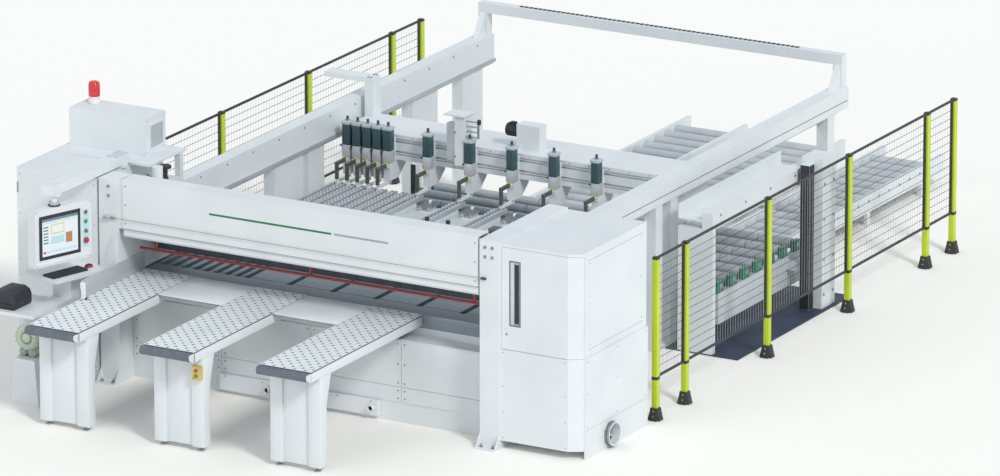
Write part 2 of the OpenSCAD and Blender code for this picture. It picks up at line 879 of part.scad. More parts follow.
module air_table_frames() {
    web_in = 25;
    web_z = table_h - air_rail;
    tip = 40;
    for (x = air_x) {
        x0 = x + leg_x;
        x1 = x + air_w;
        post = 0.24 * (x1 - x0);
        color("white") {
            for (p = [x0, x1 - post]) bar_x(p, p + post, [[leg_y, leg_foot], [leg_y + leg_d - 2 * tip, leg_foot],
                [leg_y + leg_d, web_z], [leg_y, web_z]]);
            box([x0 + post, leg_y + web_in, leg_foot], [x1 - post, leg_y + leg_d - 2 * tip, web_z]);
        }
        color("gray") for (fx = [x0 + post / 2, x1 - post / 2]) {
            round_z(0, 14, fx, leg_y + leg_d / 2 - tip, foot_r);
            round_z(14, leg_foot, fx, leg_y + leg_d / 2 - tip, 9);
        }
    }
}

module end_roller_left() end_roller(0);

module end_roller_middle() end_roller(1);

module end_roller_right() end_roller(2);

module guide_fence() {
    guide_t = 12;
    bracket = 70;
    color("lightgray") {
        box([air_x[0], air_y1 - guide_len, table_h], [air_x[0] + guide_t, air_y1, table_h + guide_h]);
        box([air_x[0] + guide_t, air_y1 - guide_len, table_h], [air_x[0] + bracket, air_y1 - guide_len + 30,
            table_h + guide_h - 10]);
    }
}

remote_h = 130;
remote_w = 90;
remote_d = 45;
remote_x = air_x[1] + air_w - 50;
remote_z = table_h - 300;
remote_hole = 8;

module remote_box() {
    front = leg_y - remote_d;
    color("khaki") difference() {
        box([remote_x - remote_w / 2, front, remote_z], [remote_x + remote_w / 2, leg_y, remote_z + remote_h]);
        for (z = remote_zs()) round_y(front - 1, front + 30, remote_x, z, remote_hole + run_fit);
    }
}

function remote_zs() = [remote_z + 40, remote_z + 90];

module remote_button(z) {
    front = leg_y - remote_d;
    round_y(front - button_travel - 8, front - button_travel, remote_x, z, 14);
    round_y(front - button_travel, front + 20, remote_x, z, remote_hole);
}

module remote_green() color("limegreen") remote_button(remote_zs()[0]);

module remote_red() color("red") remote_button(remote_zs()[1]);

// Right cabinet

cab_x0 = column_out;
cab_x1 = cab_x0 + cabinet_w;
cab_x2 = cab_x1 + chamfer_w;
cab_y0 = -column_front + 20;
cab_y1 = column_rear;
cab_foot = 80;
cab_skirt = 18;
port_y = -130;
port_z = port_r + 34;
door_t = 20;
door_gap = 3;
door_rear = cab_y0 + chamfer_d + 12;
door_top = cabinet_h - 25;
hinge_x = cab_x2 - 8;
hinge_y = door_rear - 12;
hinge_r = 3;
hinge_len = 20;
handle_x0 = cab_x0 + 88;
handle_x1 = cab_x0 + 208;
handle_z0 = 1180;
handle_z1 = 1800;

function cab_outline(in) = [
    [cab_x0 + in, cab_y0 + in], [cab_x1 - in / 2, cab_y0 + in], [cab_x2 - in, cab_y0 + chamfer_d + in / 2],
    [cab_x2 - in, cab_y1 - in], [cab_x0 + in, cab_y1 - in]
];

module right_cabinet() {
    color("white") difference() {
        translate([0, 0, cab_foot]) linear_extrude(cabinet_h - cab_foot) polygon(cab_outline(0));
        translate([0, 0, cab_foot + cabinet_wall]) linear_extrude(cabinet_h - cab_foot - 2 * cabinet_wall)
            polygon(cab_outline(cabinet_wall));
        box([cab_x0 + 10, cab_y0 - 1, split_z], [cab_x2 + 1, door_rear, door_top]);
        round_x(cab_x2 - cabinet_wall - 1, cab_x2 + 1, port_y, port_z, port_r);
    }
    color("white") difference() {
        union() {
            box([cab_x2 - cabinet_wall / 2, door_rear, cab_foot], [cab_x2 + cab_skirt, cab_y1, split_z - 2]);
            box([cab_x2, door_rear, 0], [cab_x2 + cab_skirt, cab_y1, cab_foot + 10]);
            round_x(cab_x2 + cab_skirt, cab_x2 + cab_skirt + port_len, port_y, port_z, port_r + 12);
        }
        round_x(cab_x2 - cabinet_wall - 1, cab_x2 + cab_skirt + port_len + 1, port_y, port_z, port_r);
    }
    color("silver") {
        round_z(split_z, split_z + hinge_len, hinge_x, hinge_y, hinge_r);
        round_z(door_top - hinge_len, door_top, hinge_x, hinge_y, hinge_r);
    }
}

// Service door: the flat front and the slanted corner above the split, on pins at the rear of the corner
module cabinet_door() {
    x0 = cab_x0 + 10 + door_gap;
    y1 = door_rear - 5;
    z0 = split_z + door_gap;
    h = door_top - split_z - 2 * door_gap;
    grip_w = 26;
    color("white") difference() {
        translate([0, 0, z0]) linear_extrude(h) polygon([
            [x0, cab_y0], [cab_x1, cab_y0], [cab_x2, cab_y0 + chamfer_d], [cab_x2, y1],
            [cab_x2 - door_t, y1], [cab_x1 - 4, cab_y0 + door_t], [x0, cab_y0 + door_t]
        ]);
        box([handle_x0, cab_y0 - 1, handle_z0], [handle_x1, cab_y0 + door_t + 1, handle_z1]);
        round_z(z0 - 1, split_z + hinge_len + 1, hinge_x, hinge_y, hinge_r + run_fit);
        round_z(door_top - hinge_len - 1, door_top, hinge_x, hinge_y, hinge_r + run_fit);
    }
    tray_y = cab_y0 + door_t + 34;
    grip_x = handle_x1 - 20 - grip_w;
    color("gray") difference() {
        box([handle_x0 - 6, cab_y0 + door_t, handle_z0 - 6], [handle_x1 + 6, tray_y + 6, handle_z1 + 6]);
        box([handle_x0, cab_y0, handle_z0], [handle_x1, tray_y, handle_z1]);
    }
    color("dimgray") {
        box([grip_x, cab_y0 + 3, handle_z0 + 20], [grip_x + grip_w, cab_y0 + 25, handle_z1 - 20]);
        for (z = [handle_z0 + 20, handle_z1 - 20 - grip_w])
            box([grip_x, cab_y0 + 25, z], [grip_x + grip_w, tray_y, z + grip_w]);
    }
}

// Pusher side beams and their supports

side_top = side_z + side_h;
side_y0 = column_rear;

module side_beams() {
    color("white") {
        difference() {
            box([left_web - side_w, base_half, side_z], [left_web, side_len, side_top]);
            box([left_web - side_w + 8, base_half + 8, side_z + 8], [left_web - 8, side_len - 8, side_top - 8]);
        }
        difference() {
            box([right_web, side_y0, side_z], [right_web + side_w, side_len, side_top]);
            box([right_web + 8, side_y0 + 8, side_z + 8], [right_web + side_w - 8, side_len - 8, side_top - 8]);
        }
        box([left_web - web_t, pusher_rail_y0, side_rail_z - 20], [left_web, side_len, side_z]);
        box([right_web, pusher_rail_y0, side_rail_z - 20], [right_web + web_t, side_len, side_z]);
    }
    color("gold") for (x = [left_web - 60, right_web + 60])
        round_y(side_len, side_len + 60, x, side_z + 40, 26);
}

left_posts = [[2280, 540], [2920, 300], [4920, 500], [5920, 400]];
right_posts = [[2600, 130], [2900, 130], [6100, 145]];

post_plate_x1 = right_web + 170;

module beam_posts() {
    plate = 14;
    color("white") {
        for (p = left_posts) {
            shell([left_web - side_w + 10, p[0], plate], [left_web - web_t, p[0] + p[1], side_z], 8);
            box([left_web - side_w - 20, p[0] - 20, 0], [left_web + 10, p[0] + p[1] + 20, plate]);
        }
        for (p = right_posts) {
            shell([right_web + web_t, p[0], plate], [right_web + side_w - 10, p[0] + p[1], side_z], 8);
            box([right_web + web_t, p[0] - 20, 0], [post_plate_x1, p[0] + p[1] + 20, plate]);
        }
    }
}

module rear_gantry() {
    y0 = side_len - gantry_w;
    x0 = left_web - side_w / 2 - gantry_w / 2;
    x1 = right_web + side_w / 2 + gantry_w / 2;
    gusset = 150;
    color("white") {
        box([x0, y0, gantry_h - gantry_w], [x1, side_len, gantry_h]);
        box([x0, y0, side_top], [x0 + gantry_w, side_len, gantry_h - gantry_w / 2]);
        box([x1 - gantry_w, y0, side_top], [x1, side_len, gantry_h - gantry_w / 2]);
        for (x = [x0 + 20, x1 - gantry_w + 20])
            bar_x(x, x + gantry_w - 40, [[y0 - gusset, side_top], [y0, side_top], [y0, gantry_h - gantry_w]]);
    }
}

// Pusher

truck_len = 180;
pusher_x0 = left_web + rail_h + 40;
pusher_x1 = right_web - rail_h - 40;
pusher_y1 = pusher_y + pusher_d;
groove_z = pusher_z + 0.28 * pusher_h;
groove_h = 0.16 * pusher_h;

module pusher_beam() {
    top_groove = pusher_z + 0.68 * pusher_h;
    groove_d = 30;
    color("white") difference() {
        box([pusher_x0, pusher_y, pusher_z], [pusher_x1, pusher_y1, pusher_z + pusher_h]);
        box([pusher_x0 + 12, pusher_y + 60, pusher_z + 12], [pusher_x1 - 12, pusher_y1 - 12, pusher_z + pusher_h - 12]);
        for (z = [groove_z, top_groove])
            box([pusher_x0 - 1, pusher_y - 1, z], [pusher_x1 + 1, pusher_y + groove_d, z + groove_h / 2]);
    }
    color("gray") for (y = [pusher_y + 120, pusher_y1 - truck_len - 20]) {
        pusher_truck(y, pusher_x0, 1);
        pusher_truck(y, pusher_x1, -1);
    }
    pusher_arch();
}

// A bearing truck that grips the rail beside one end of the pusher beam
module pusher_truck(y, x, side) {
    reach = 40 + rail_h - 4;
    groove = rail_h + slide_gap;
    z0 = side_rail_z - 15;
    z1 = side_rail_z + rail_w + 15;
    wall = x - side * (40 + rail_h);
    difference() {
        box([min(x, x - side * reach), y, z0], [max(x, x - side * reach), y + truck_len, z1]);
        box([min(wall, wall + side * groove), y - 1, side_rail_z - slide_gap],
            [max(wall, wall + side * groove), y + truck_len + 1, side_rail_z + rail_w + slide_gap]);
    }
}

arch_w = 92;
arch_h = 1840;
arch_t = 50;

module pusher_arch() {
    y1 = pusher_y1 - 5;
    y0 = y1 - 150;
    color("white") {
        box([pusher_x0, y0, pusher_z + pusher_h], [pusher_x0 + arch_w, y1, arch_h - arch_t]);
        box([pusher_x0 - 450, y0, arch_h - arch_t], [pusher_x0 + arch_w, y1, arch_h]);
    }
}

arm_face = pusher_y - 115;
jaw_len = 195;
jaw_y = arm_face - jaw_len;
pivot_y = arm_face - 18;
pivot_z = table_h + 165;
pin_r = 8;
lever_w = 32;
lug_t = 14;
jaw_gap = 14;
jaw_under = 2;
cyl_y = pusher_y - 85;

module clamp_arms() {
    nose_top = table_h + 190;
    tongue = 15;
    root = 60;
    jaw_d = 25;
    nose_z = table_h + 12;
    lug_x = lever_w / 2 + 1;
    for (x = clamp_xs) {
        color("white") difference() {
            union() {
                bar_x(x - clamp_w / 2, x + clamp_w / 2, [
                    [arm_face, nose_z], [arm_face + 160, nose_z], [arm_face + 300, pusher_z - 80],
                    [arm_face + 300, pusher_z], [pusher_y, pusher_z], [pusher_y, pusher_z + pusher_h - 25],
                    [pusher_y - 33, pusher_z + pusher_h - 25], [pusher_y - 33, nose_top], [arm_face, nose_top]
                ]);
                for (s = [lug_x, -lug_x - lug_t])
                    box([x + s, arm_face - 36, pivot_z - 17], [x + s + lug_t, arm_face, pivot_z + 17]);
            }
            round_x(x - clamp_w, x + clamp_w, pivot_y, pivot_z, pin_r + run_fit);
        }
        color("dimgray") {
            box([x - tongue, arm_face, table_h - jaw_under + slide_gap], [x + tongue, arm_face + root, nose_z]);
            box([x - tongue, jaw_y, table_h - jaw_d], [x + tongue, arm_face + root, table_h - jaw_under]);
        }
    }
}

module clamp_cylinders() {
    block_z0 = table_h + 190;
    barrel_z0 = 1310;
    barrel_z1 = 1510;
    cap_h = 40;
    half_w = cylinder_w / 2;
    for (x = clamp_xs) {
        color("silver") {
            box([x - half_w + 6, cyl_y - half_w + 6, block_z0], [x + half_w - 6, pusher_y - 33, barrel_z0]);
            box([x - half_w, cyl_y - half_w, barrel_z1], [x + half_w, cyl_y + half_w, barrel_z1 + cap_h]);
            round_z(barrel_z1 + cap_h, barrel_z1 + 2 * cap_h, x, cyl_y, 13);
        }
        color("darkslategray")
            box([x - half_w + 4, cyl_y - half_w + 4, barrel_z0], [x + half_w - 4, cyl_y + half_w - 4, barrel_z1]);
    }
}

module clamp_jaws() {
    lever_t = 30;
    color("dimgray") for (x = clamp_xs) {
        box([x - lever_w / 2, jaw_y, pivot_z - lever_t / 2], [x + lever_w / 2, pivot_y + 10, pivot_z + lever_t / 2]);
        box([x - 14, jaw_y, table_h + jaw_gap - jaw_under], [x + 14, jaw_y + 30, pivot_z - lever_t / 2]);
        round_x(x - lever_w / 2 - lug_t, x + lever_w / 2 + lug_t, pivot_y, pivot_z, pin_r);
    }
}

aligner_in = 1290;
aligner_w = 100;
aligner_h = 560;
aligner_x = -half + aligner_in;
aligner_top = pusher_z + aligner_h;
drive_in = 1840;
drive_w = 250;
drive_d = 140;
drive_x = -half + drive_in;

// Upright of the side aligner, and the drive box on top of the pusher beam
module aligner() {
    front = pusher_y - 110;
    top = pusher_z + pusher_h;
    color("whitesmoke") {
        box([aligner_x, front, pusher_z + 70], [aligner_x + aligner_w, pusher_y, aligner_top]);
        box([aligner_x - 110, front - 20, aligner_top], [aligner_x + aligner_w + 20, pusher_y + 60, aligner_top + 12]);
        box([aligner_x, pusher_y, top], [aligner_x + aligner_w, pusher_y + 90, aligner_top]);
        box([drive_x, pusher_y + 120, top], [drive_x + drive_w, pusher_y + 120 + drive_d, top + drive_w]);
    }
    color("dimgray") round_x(drive_x - 130, drive_x, pusher_y + 190, top + 170, 60);
}

module aligner_head() {
    x1 = aligner_x - slide_gap;
    y0 = pusher_y - 100;
    color("lightgray") {
        box([x1 - 90, y0, pusher_z + 110], [x1, y0 + 70, aligner_top - 80]);
        round_z(pusher_z + 30, pusher_z + 110, x1 - 30, y0 + 35, 7);
    }
}

// Bed behind the saw

bed_y = base_half;
track_z0 = table_h - track_h - 15;
bed_cross_z = track_z0 - 180;
bed_ys = [bed_y + 120, 1850, lift_y0 - 210];
bed_rear = lift_y0 - 30;
bed_x0 = -half + 20;
bed_x1 = right_web - 40;

module bed_frame() {
    nose_w = 280;
    rail_up = 30;
    color("white") {
        for (y = bed_ys) {
            shell([bed_x0, y, bed_cross_z - bed_beam], [bed_x1, y + bed_beam, bed_cross_z], 6);
            for (x = [bed_x0, (bed_x0 + bed_x1) / 2, bed_x1 - bed_beam])
                shell([x, y, 0], [x + bed_beam, y + bed_beam, bed_cross_z - bed_beam], 6);
        }
        for (i = [0 : wide_n - 1]) {
            x = -half + wide_start + (i + 0.5) * wide_pitch;
            shell([x - nose_w / 2, bed_y, bed_cross_z], [x + nose_w / 2, bed_rear, track_z0 - rail_up], 5);
        }
    }
    color("silver") for (x = track_xs)
        shell([x - track_gap - track_w, bed_y, bed_cross_z], [x + track_gap + track_w, bed_rear, track_z0], 5);
}

module roller_tracks() {
    color("darkgray") for (x = track_xs) for (s = [-track_gap - track_w, track_gap])
        box([x + s, bed_y, track_z0], [x + s + track_w, track_rear, table_h - 15]);
}

// Lift table

tray_x0 = 2120;
tray_x1 = 2376;
frame_x1 = 2490;
frame_y0 = 2740;
post_y0 = 4800;
tray_z = 1310;
guide_x0 = lift_x1 + 160;
post_d = 270;
skirt_y1 = 5075;
base_z = 14;

module lift_frame() {
    sheet = 12;
    color("white") {
        shell([tray_x0, frame_y0, base_z], [frame_x1, frame_y0 + 60, tray_z - 80], 5);
        shell([tray_x1, frame_y0, tray_z - 80], [frame_x1, post_y0, tray_z + 80], 6);
        box([tray_x0, frame_y0, tray_z - sheet], [tray_x1, post_y0, tray_z]);
        box([tray_x0, frame_y0, tray_z], [tray_x0 + sheet, post_y0, tray_z + 130]);
        shell([frame_x1, post_y0 - post_d, base_z], [frame_x1 + 230, post_y0, tray_z + 190], 6);
    }
    color("midnightblue") {
        box([lift_x0 - 60, lift_y0 - 26, 0], [post_plate_x1, skirt_y1, base_z]);
        box([post_plate_x1, frame_y0, 0], [frame_x1 + 270, skirt_y1, base_z]);
    }
    color("black") {
        shell([guide_x0, post_y0 - 370, base_z], [guide_x0 + 100, post_y0 - post_d, tray_z + 140], 6);
        box([lift_x0 - 60, post_y0 - 370, base_z], [lift_x0 - slide_gap, post_y0 - post_d, lift_rail_z + lift_up + 60]);
    }
}

lift_roller_z = lift_rail_z + 62;
lift_block_r = 15;

function lift_roller_y(i) = lift_y0 + 60 + i * (lift_y1 - lift_y0 - 140) / (lift_roller_n - 1);

module lift_platform() {
    cross = 80;
    block_w = 110;
    rail_z0 = lift_rail_z - lift_rail_h;
    color("gainsboro") {
        for (x = [lift_x0, lift_x1 - lift_rail_w])
            shell([x, lift_y0, rail_z0], [x + lift_rail_w, lift_y1, lift_rail_z], 6);
        box([lift_x1, post_y0 - 340, rail_z0 + 180], [guide_x0 - slide_gap, post_y0 - 290, lift_rail_z - 30]);
    }
    color("teal") for (i = [0 : 2 : lift_roller_n - 2]) {
        y = lift_roller_y(i) + 90;
        box([lift_x0 + lift_rail_w, y, lift_rail_z - cross], [lift_x1 - lift_rail_w, y + 60, lift_rail_z]);
    }
    color("seagreen") for (i = [0 : lift_roller_n - 1]) for (x = [lift_x0, lift_x1 - lift_rail_w]) difference() {
        box([x + 8, lift_roller_y(i) - block_w / 2, lift_rail_z],
            [x + lift_rail_w - 8, lift_roller_y(i) + block_w / 2, lift_roller_z + 40]);
        round_x(x, x + lift_rail_w, lift_roller_y(i), lift_roller_z, lift_block_r + run_fit);
    }
}

module lift_rollers() {
    x0 = lift_x0 + lift_rail_w + 6;
    x1 = lift_x1 - lift_rail_w - 6;
    wall = 5;
    color("silver") for (i = [0 : lift_roller_n - 1]) difference() {
        union() {
            round_x(x0, x1, lift_roller_y(i), lift_roller_z, lift_roller_r);
            round_x(lift_x0 + 4, lift_x1 - 4, lift_roller_y(i), lift_roller_z, lift_block_r);
        }
        round_x(x0 + wall, x1 - wall, lift_roller_y(i), lift_roller_z, lift_roller_r - wall);
    }
}

// Infeed conveyors

infeed_rail_w = 40;
infeed_rail_h = 180;
infeed_roller_r = 50;
infeed_count = floor((infeed_y1 - infeed_y0 - infeed_step) / infeed_step);
infeed_axle_z = infeed_h - infeed_roller_r;

function infeed_xs() = [for (i = [0 : infeed_n - 1]) infeed_x + i * infeed_pitch];

module infeed_frames() {
    rail_top = infeed_h + 14;
    feet = 4;
    foot_t = 12;
    over = 14;
    color("gainsboro") for (x = infeed_xs()) {
        for (e = [x, x + infeed_w - infeed_rail_w])
            box([e, infeed_y0, rail_top - infeed_rail_h], [e + infeed_rail_w, infeed_y1, rail_top]);
        for (i = [0 : feet - 1]) {
            y = infeed_y0 + 60 + i * (infeed_y1 - infeed_y0 - 550) / (feet - 1);
            z0 = i == 0 ? base_z : 0;
            box([x + infeed_rail_w, y, rail_top - infeed_rail_h], [x + infeed_w - infeed_rail_w, y + 60,
                rail_top - infeed_rail_h + 50]);
            for (e = [x, x + infeed_w - infeed_rail_w]) {
                box([e, y, z0 + foot_t], [e + infeed_rail_w, y + 60, rail_top - infeed_rail_h]);
                box([e - over, y - over, z0], [e + infeed_rail_w + over, y + 60 + over, z0 + foot_t]);
            }
        }
    }
}

module infeed_rollers() {
    wall = 5;
    color("silver") for (x = infeed_xs()) for (i = [0 : infeed_count - 1]) {
        x0 = x + infeed_rail_w;
        x1 = x + infeed_w - infeed_rail_w;
        y = infeed_y0 + (i + 1) * infeed_step;
        difference() {
            round_x(x0, x1, y, infeed_axle_z, infeed_roller_r);
            round_x(x0 + wall, x1 - wall, y, infeed_axle_z, infeed_roller_r - wall);
        }
    }
}

// Safety fence

fence_ys = [783, 1352, 2986, 4635, 6280, 6856];
fence_x = [control_x0 + 9, cab_x2 + 2];
foot_h = 120;
rail_bar = 24;

module safety_fence() {
    foot_w = 130;
    for (fx = fence_x) {
        color("yellowgreen") for (y = fence_ys) {
            box([fx - fence_post / 2, y, 0], [fx + fence_post / 2, y + fence_post, fence_h]);
        }
        color("dimgray") for (y = fence_ys) difference() {
            bar_y(y - 20, y + fence_post + 20, [[fx - foot_w / 2, 0], [fx + foot_w / 2, 0],
                [fx + fence_post / 2 + 8, foot_h], [fx - fence_post / 2 - 8, foot_h]]);
            box([fx - fence_post / 2, y, -1], [fx + fence_post / 2, y + fence_post, foot_h + 1]);
        }
        for (i = [0 : len(fence_ys) - 2]) mesh_panel(fx, fence_ys[i] + fence_post, fence_ys[i + 1]);
    }
}

// One framed panel between two posts; its wires are drawn as a thin sheet
module mesh_panel(x, y0, y1) {
    wire_t = 4;
    color("dimgray") {
        for (z = [fence_gap, fence_h - rail_bar])
            box([x - mesh_t / 2, y0, z], [x + mesh_t / 2, y1, z + rail_bar]);
    }
    color("gray") box([x - wire_t / 2, y0, fence_gap + rail_bar], [x + wire_t / 2, y1, fence_h - rail_bar]);
}

machine_base();
front_panels();
work_table();
linear_rails();
bridge_beam();
beam_cover();
press_beam();
safety_bar();
left_column();
right_column();
column_bolts();
pull_wire();
pull_switch();
roof_plate();
saw_carriage();
arbor_block();
main_blade();
scoring_blade();
control_cabinet();
cabinet_cooler();
signal_beacon();
console_arm();
console_housing();
console_screen();
start_button();
stop_button();
key_switch();
emergency_stop();
operator_desk();
keyboard();
label_printer();
ring_blower();
air_table_tops();
air_table_frames();
end_roller_left();
end_roller_middle();
end_roller_right();
guide_fence();
remote_box();
remote_green();
remote_red();
right_cabinet();
cabinet_door();
side_beams();
beam_posts();
rear_gantry();
pusher_beam();
clamp_arms();
clamp_cylinders();
clamp_jaws();
aligner();
aligner_head();
bed_frame();
roller_tracks();
lift_frame();
lift_platform();
lift_rollers();
infeed_frames();
infeed_rollers();
safety_fence();
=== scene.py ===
import json
import math

import bpy
from mathutils import Matrix, Vector


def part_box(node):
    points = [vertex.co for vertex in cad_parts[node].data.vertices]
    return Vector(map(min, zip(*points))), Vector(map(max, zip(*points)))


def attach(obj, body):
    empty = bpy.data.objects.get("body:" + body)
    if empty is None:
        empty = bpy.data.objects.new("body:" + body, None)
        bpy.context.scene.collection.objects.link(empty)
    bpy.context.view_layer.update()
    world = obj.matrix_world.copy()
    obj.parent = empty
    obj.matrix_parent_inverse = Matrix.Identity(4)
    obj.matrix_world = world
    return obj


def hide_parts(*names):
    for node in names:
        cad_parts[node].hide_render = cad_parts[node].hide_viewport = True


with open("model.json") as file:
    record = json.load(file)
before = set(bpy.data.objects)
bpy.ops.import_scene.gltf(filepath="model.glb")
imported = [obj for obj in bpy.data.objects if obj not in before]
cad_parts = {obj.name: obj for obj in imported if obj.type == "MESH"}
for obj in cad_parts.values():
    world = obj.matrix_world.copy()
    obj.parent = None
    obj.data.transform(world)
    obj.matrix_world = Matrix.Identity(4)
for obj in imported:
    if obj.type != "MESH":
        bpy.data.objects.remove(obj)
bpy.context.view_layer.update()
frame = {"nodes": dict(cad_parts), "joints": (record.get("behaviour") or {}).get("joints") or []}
cadNodes = frame["nodes"]
print("frame loaded")

# Camera and light

cameraSetup = {
    "place": (40.0588, -68.1554, 25.2870),  # metres from the machine's origin
    "azimuth": 29.34,
    "elevation": 16.74,
    "roll": -0.03,
    "focalPixels": 8961.1,
    "pictureWidth": 1000,
    "sensor": 36.0,
    "nearest": 1.0,
    "farthest": 1000.0,
}
lightSetup = {
    "skyColour": "#EAF1F8",
    "skyStrength": 0.76,
    "sunStrength": 1.5,
    "fillStrength": 0.25,  # weak light from the front left
    "sunSoftness": 12,  # degrees, wide for a soft studio shadow
    "sunFrom": (1.10, -0.634, 1.05),
    "fillFrom": (-0.3, -1.0, 0.3),
    "floorColour": "#FFFCF6",
    "floorSize": 900,
}


def linearChannel(value):
    return value / 12.92 if value <= 0.04045 else ((value + 0.055) / 1.055) ** 2.4


def linearColour(hexCode):
    channels = [int(hexCode[i:i + 2], 16) / 255 for i in (1, 3, 5)]
    return (*[linearChannel(channel) for channel in channels], 1.0)


def addNode(tree, kind, settings=None, links=None):
    node = tree.nodes.new(kind)
    for name, value in (settings or {}).items():
        if isinstance(name, int) or name in node.inputs:
            node.inputs[name].default_value = value
        else:
            setattr(node, name, value)
    for name, source in (links or {}).items():
        tree.links.new(source, node.inputs[name])
    return node


def setCamera():
    camera = bpy.data.objects.new("viewCamera", bpy.data.cameras.new("viewCamera"))
    bpy.context.scene.collection.objects.link(camera)
    azimuth, elevation, roll = [math.radians(cameraSetup[name]) for name in ("azimuth", "elevation", "roll")]
    forward = Vector((-math.sin(azimuth) * math.cos(elevation), math.cos(azimuth) * math.cos(elevation),
                      -math.sin(elevation)))
    turn = forward.to_track_quat("-Z", "Y").to_matrix().to_4x4()
    camera.matrix_world = Matrix.Translation(cameraSetup["place"]) @ turn @ Matrix.Rotation(roll, 4, "Z")
    camera.data.sensor_width = cameraSetup["sensor"]
    camera.data.lens = cameraSetup["focalPixels"] * cameraSetup["sensor"] / cameraSetup["pictureWidth"]
    camera.data.clip_start = cameraSetup["nearest"]
    camera.data.clip_end = cameraSetup["farthest"]
    bpy.context.scene.camera = camera
    bpy.context.scene.view_settings.view_transform = "Standard"


def setSky():
    # The machine is lit by a pale sky, and the camera sees plain white behind it
    world = bpy.data.worlds.new("studio")
    bpy.context.scene.world = world
    world.use_nodes = True
    tree = world.node_tree
    tree.nodes.clear()
    rays = addNode(tree, "ShaderNodeLightPath").outputs
    seen = addNode(tree, "ShaderNodeMath", {"operation": "ADD", "use_clamp": True},
                   {0: rays["Is Camera Ray"], 1: rays["Is Transmission Ray"]})
    light = addNode(tree, "ShaderNodeBackground", {"Color": linearColour(lightSetup["skyColour"]),
                                                   "Strength": lightSetup["skyStrength"]})
    white = addNode(tree, "ShaderNodeBackground", {"Color": (1, 1, 1, 1), "Strength": 1.0})
    mixed = addNode(tree, "ShaderNodeMixShader", None,
                    {0: seen.outputs[0], 1: light.outputs[0], 2: white.outputs[0]})
    addNode(tree, "ShaderNodeOutputWorld", None, {"Surface": mixed.outputs[0]})


def setSun(name, strength, place):
    sun = bpy.data.objects.new(name, bpy.data.lights.new(name, "SUN"))
    sun.data.energy = strength
    sun.data.angle = math.radians(lightSetup["sunSoftness"])
    sun.rotation_mode = "QUATERNION"
    sun.rotation_quaternion = (-Vector(place)).to_track_quat("-Z", "Y")
    bpy.context.scene.collection.objects.link(sun)


def setFloor():
    bpy.ops.object.select_all(action="DESELECT")
    bpy.ops.mesh.primitive_plane_add(size=lightSetup["floorSize"], location=(0, 0, 0))
    floor = bpy.context.object
    floor.name = "studioFloor"
    material = bpy.data.materials.new("paleFloor")
    material.use_nodes = True
    shader = material.node_tree.nodes["Principled BSDF"]
    shader.inputs["Base Color"].default_value = linearColour(lightSetup["floorColour"])
    shader.inputs["Roughness"].default_value = 1.0
    shader.inputs["Specular IOR Level"].default_value = 0.0
    floor.data.materials.append(material)


setCamera()
setSky()
setSun("softSun", lightSetup["sunStrength"], lightSetup["sunFrom"])
setSun("fillSun", lightSetup["fillStrength"], lightSetup["fillFrom"])
setFloor()
print("camera, light and floor set")

# Materials

madeMaterials = {}
grainSetup = {
    "metre": 1000.0,  # millimetres, the noise scale is counted in them
    "detail": 4.0,
    "grainShare": 0.35,  # how much the fine grain adds to the broad mottle
    "toneRange": (0.45, 0.95),
    "glossRange": (0.3, 0.7),
    "bumpDepth": 0.0004,
}


def grained(name, light, dark, rough, metal=0.0, mottleMm=450, grainMm=2.5, stretch=(1, 1, 1), bump=0.12,
            coat=0.0):
    # A broad mottle between two tones, with a fine grain in gloss and relief
    material = bpy.data.materials.new(name)
    material.use_nodes = True
    tree = material.node_tree
    tree.nodes.clear()
    coords = addNode(tree, "ShaderNodeTexCoord").outputs["Object"]
    moved = addNode(tree, "ShaderNodeMapping", {"Scale": stretch}, {"Vector": coords}).outputs[0]
    mottle, grain = [addNode(tree, "ShaderNodeTexNoise",
                             {"Scale": grainSetup["metre"] / size, "Detail": grainSetup["detail"]},
                             {"Vector": moved}).outputs["Fac"] for size in (mottleMm, grainMm)]
    both = addNode(tree, "ShaderNodeMath", {"operation": "MULTIPLY_ADD", 1: grainSetup["grainShare"]},
                   {0: grain, 2: mottle}).outputs[0]
    start, end = grainSetup["toneRange"]
    tone = addNode(tree, "ShaderNodeMapRange",
                   {"From Min": start, "From Max": end, "To Min": 0.0, "To Max": 1.0},
                   {"Value": both}).outputs[0]
    colour = addNode(tree, "ShaderNodeMix",
                     {"data_type": "RGBA", 6: linearColour(dark), 7: linearColour(light)},
                     {0: tone}).outputs[2]
    start, end = grainSetup["glossRange"]
    gloss = addNode(tree, "ShaderNodeMapRange",
                    {"From Min": start, "From Max": end, "To Min": rough[0], "To Max": rough[1]},
                    {"Value": grain}).outputs[0]
    raised = addNode(tree, "ShaderNodeBump", {"Strength": bump, "Distance": grainSetup["bumpDepth"]},
                     {"Height": grain}).outputs[0]
    shader = addNode(tree, "ShaderNodeBsdfPrincipled", {"Metallic": metal, "Coat Weight": coat},
                     {"Base Color": colour, "Roughness": gloss, "Normal": raised})
    addNode(tree, "ShaderNodeOutputMaterial", None, {"Surface": shader.outputs[0]})
    madeMaterials[name] = material
    return shader


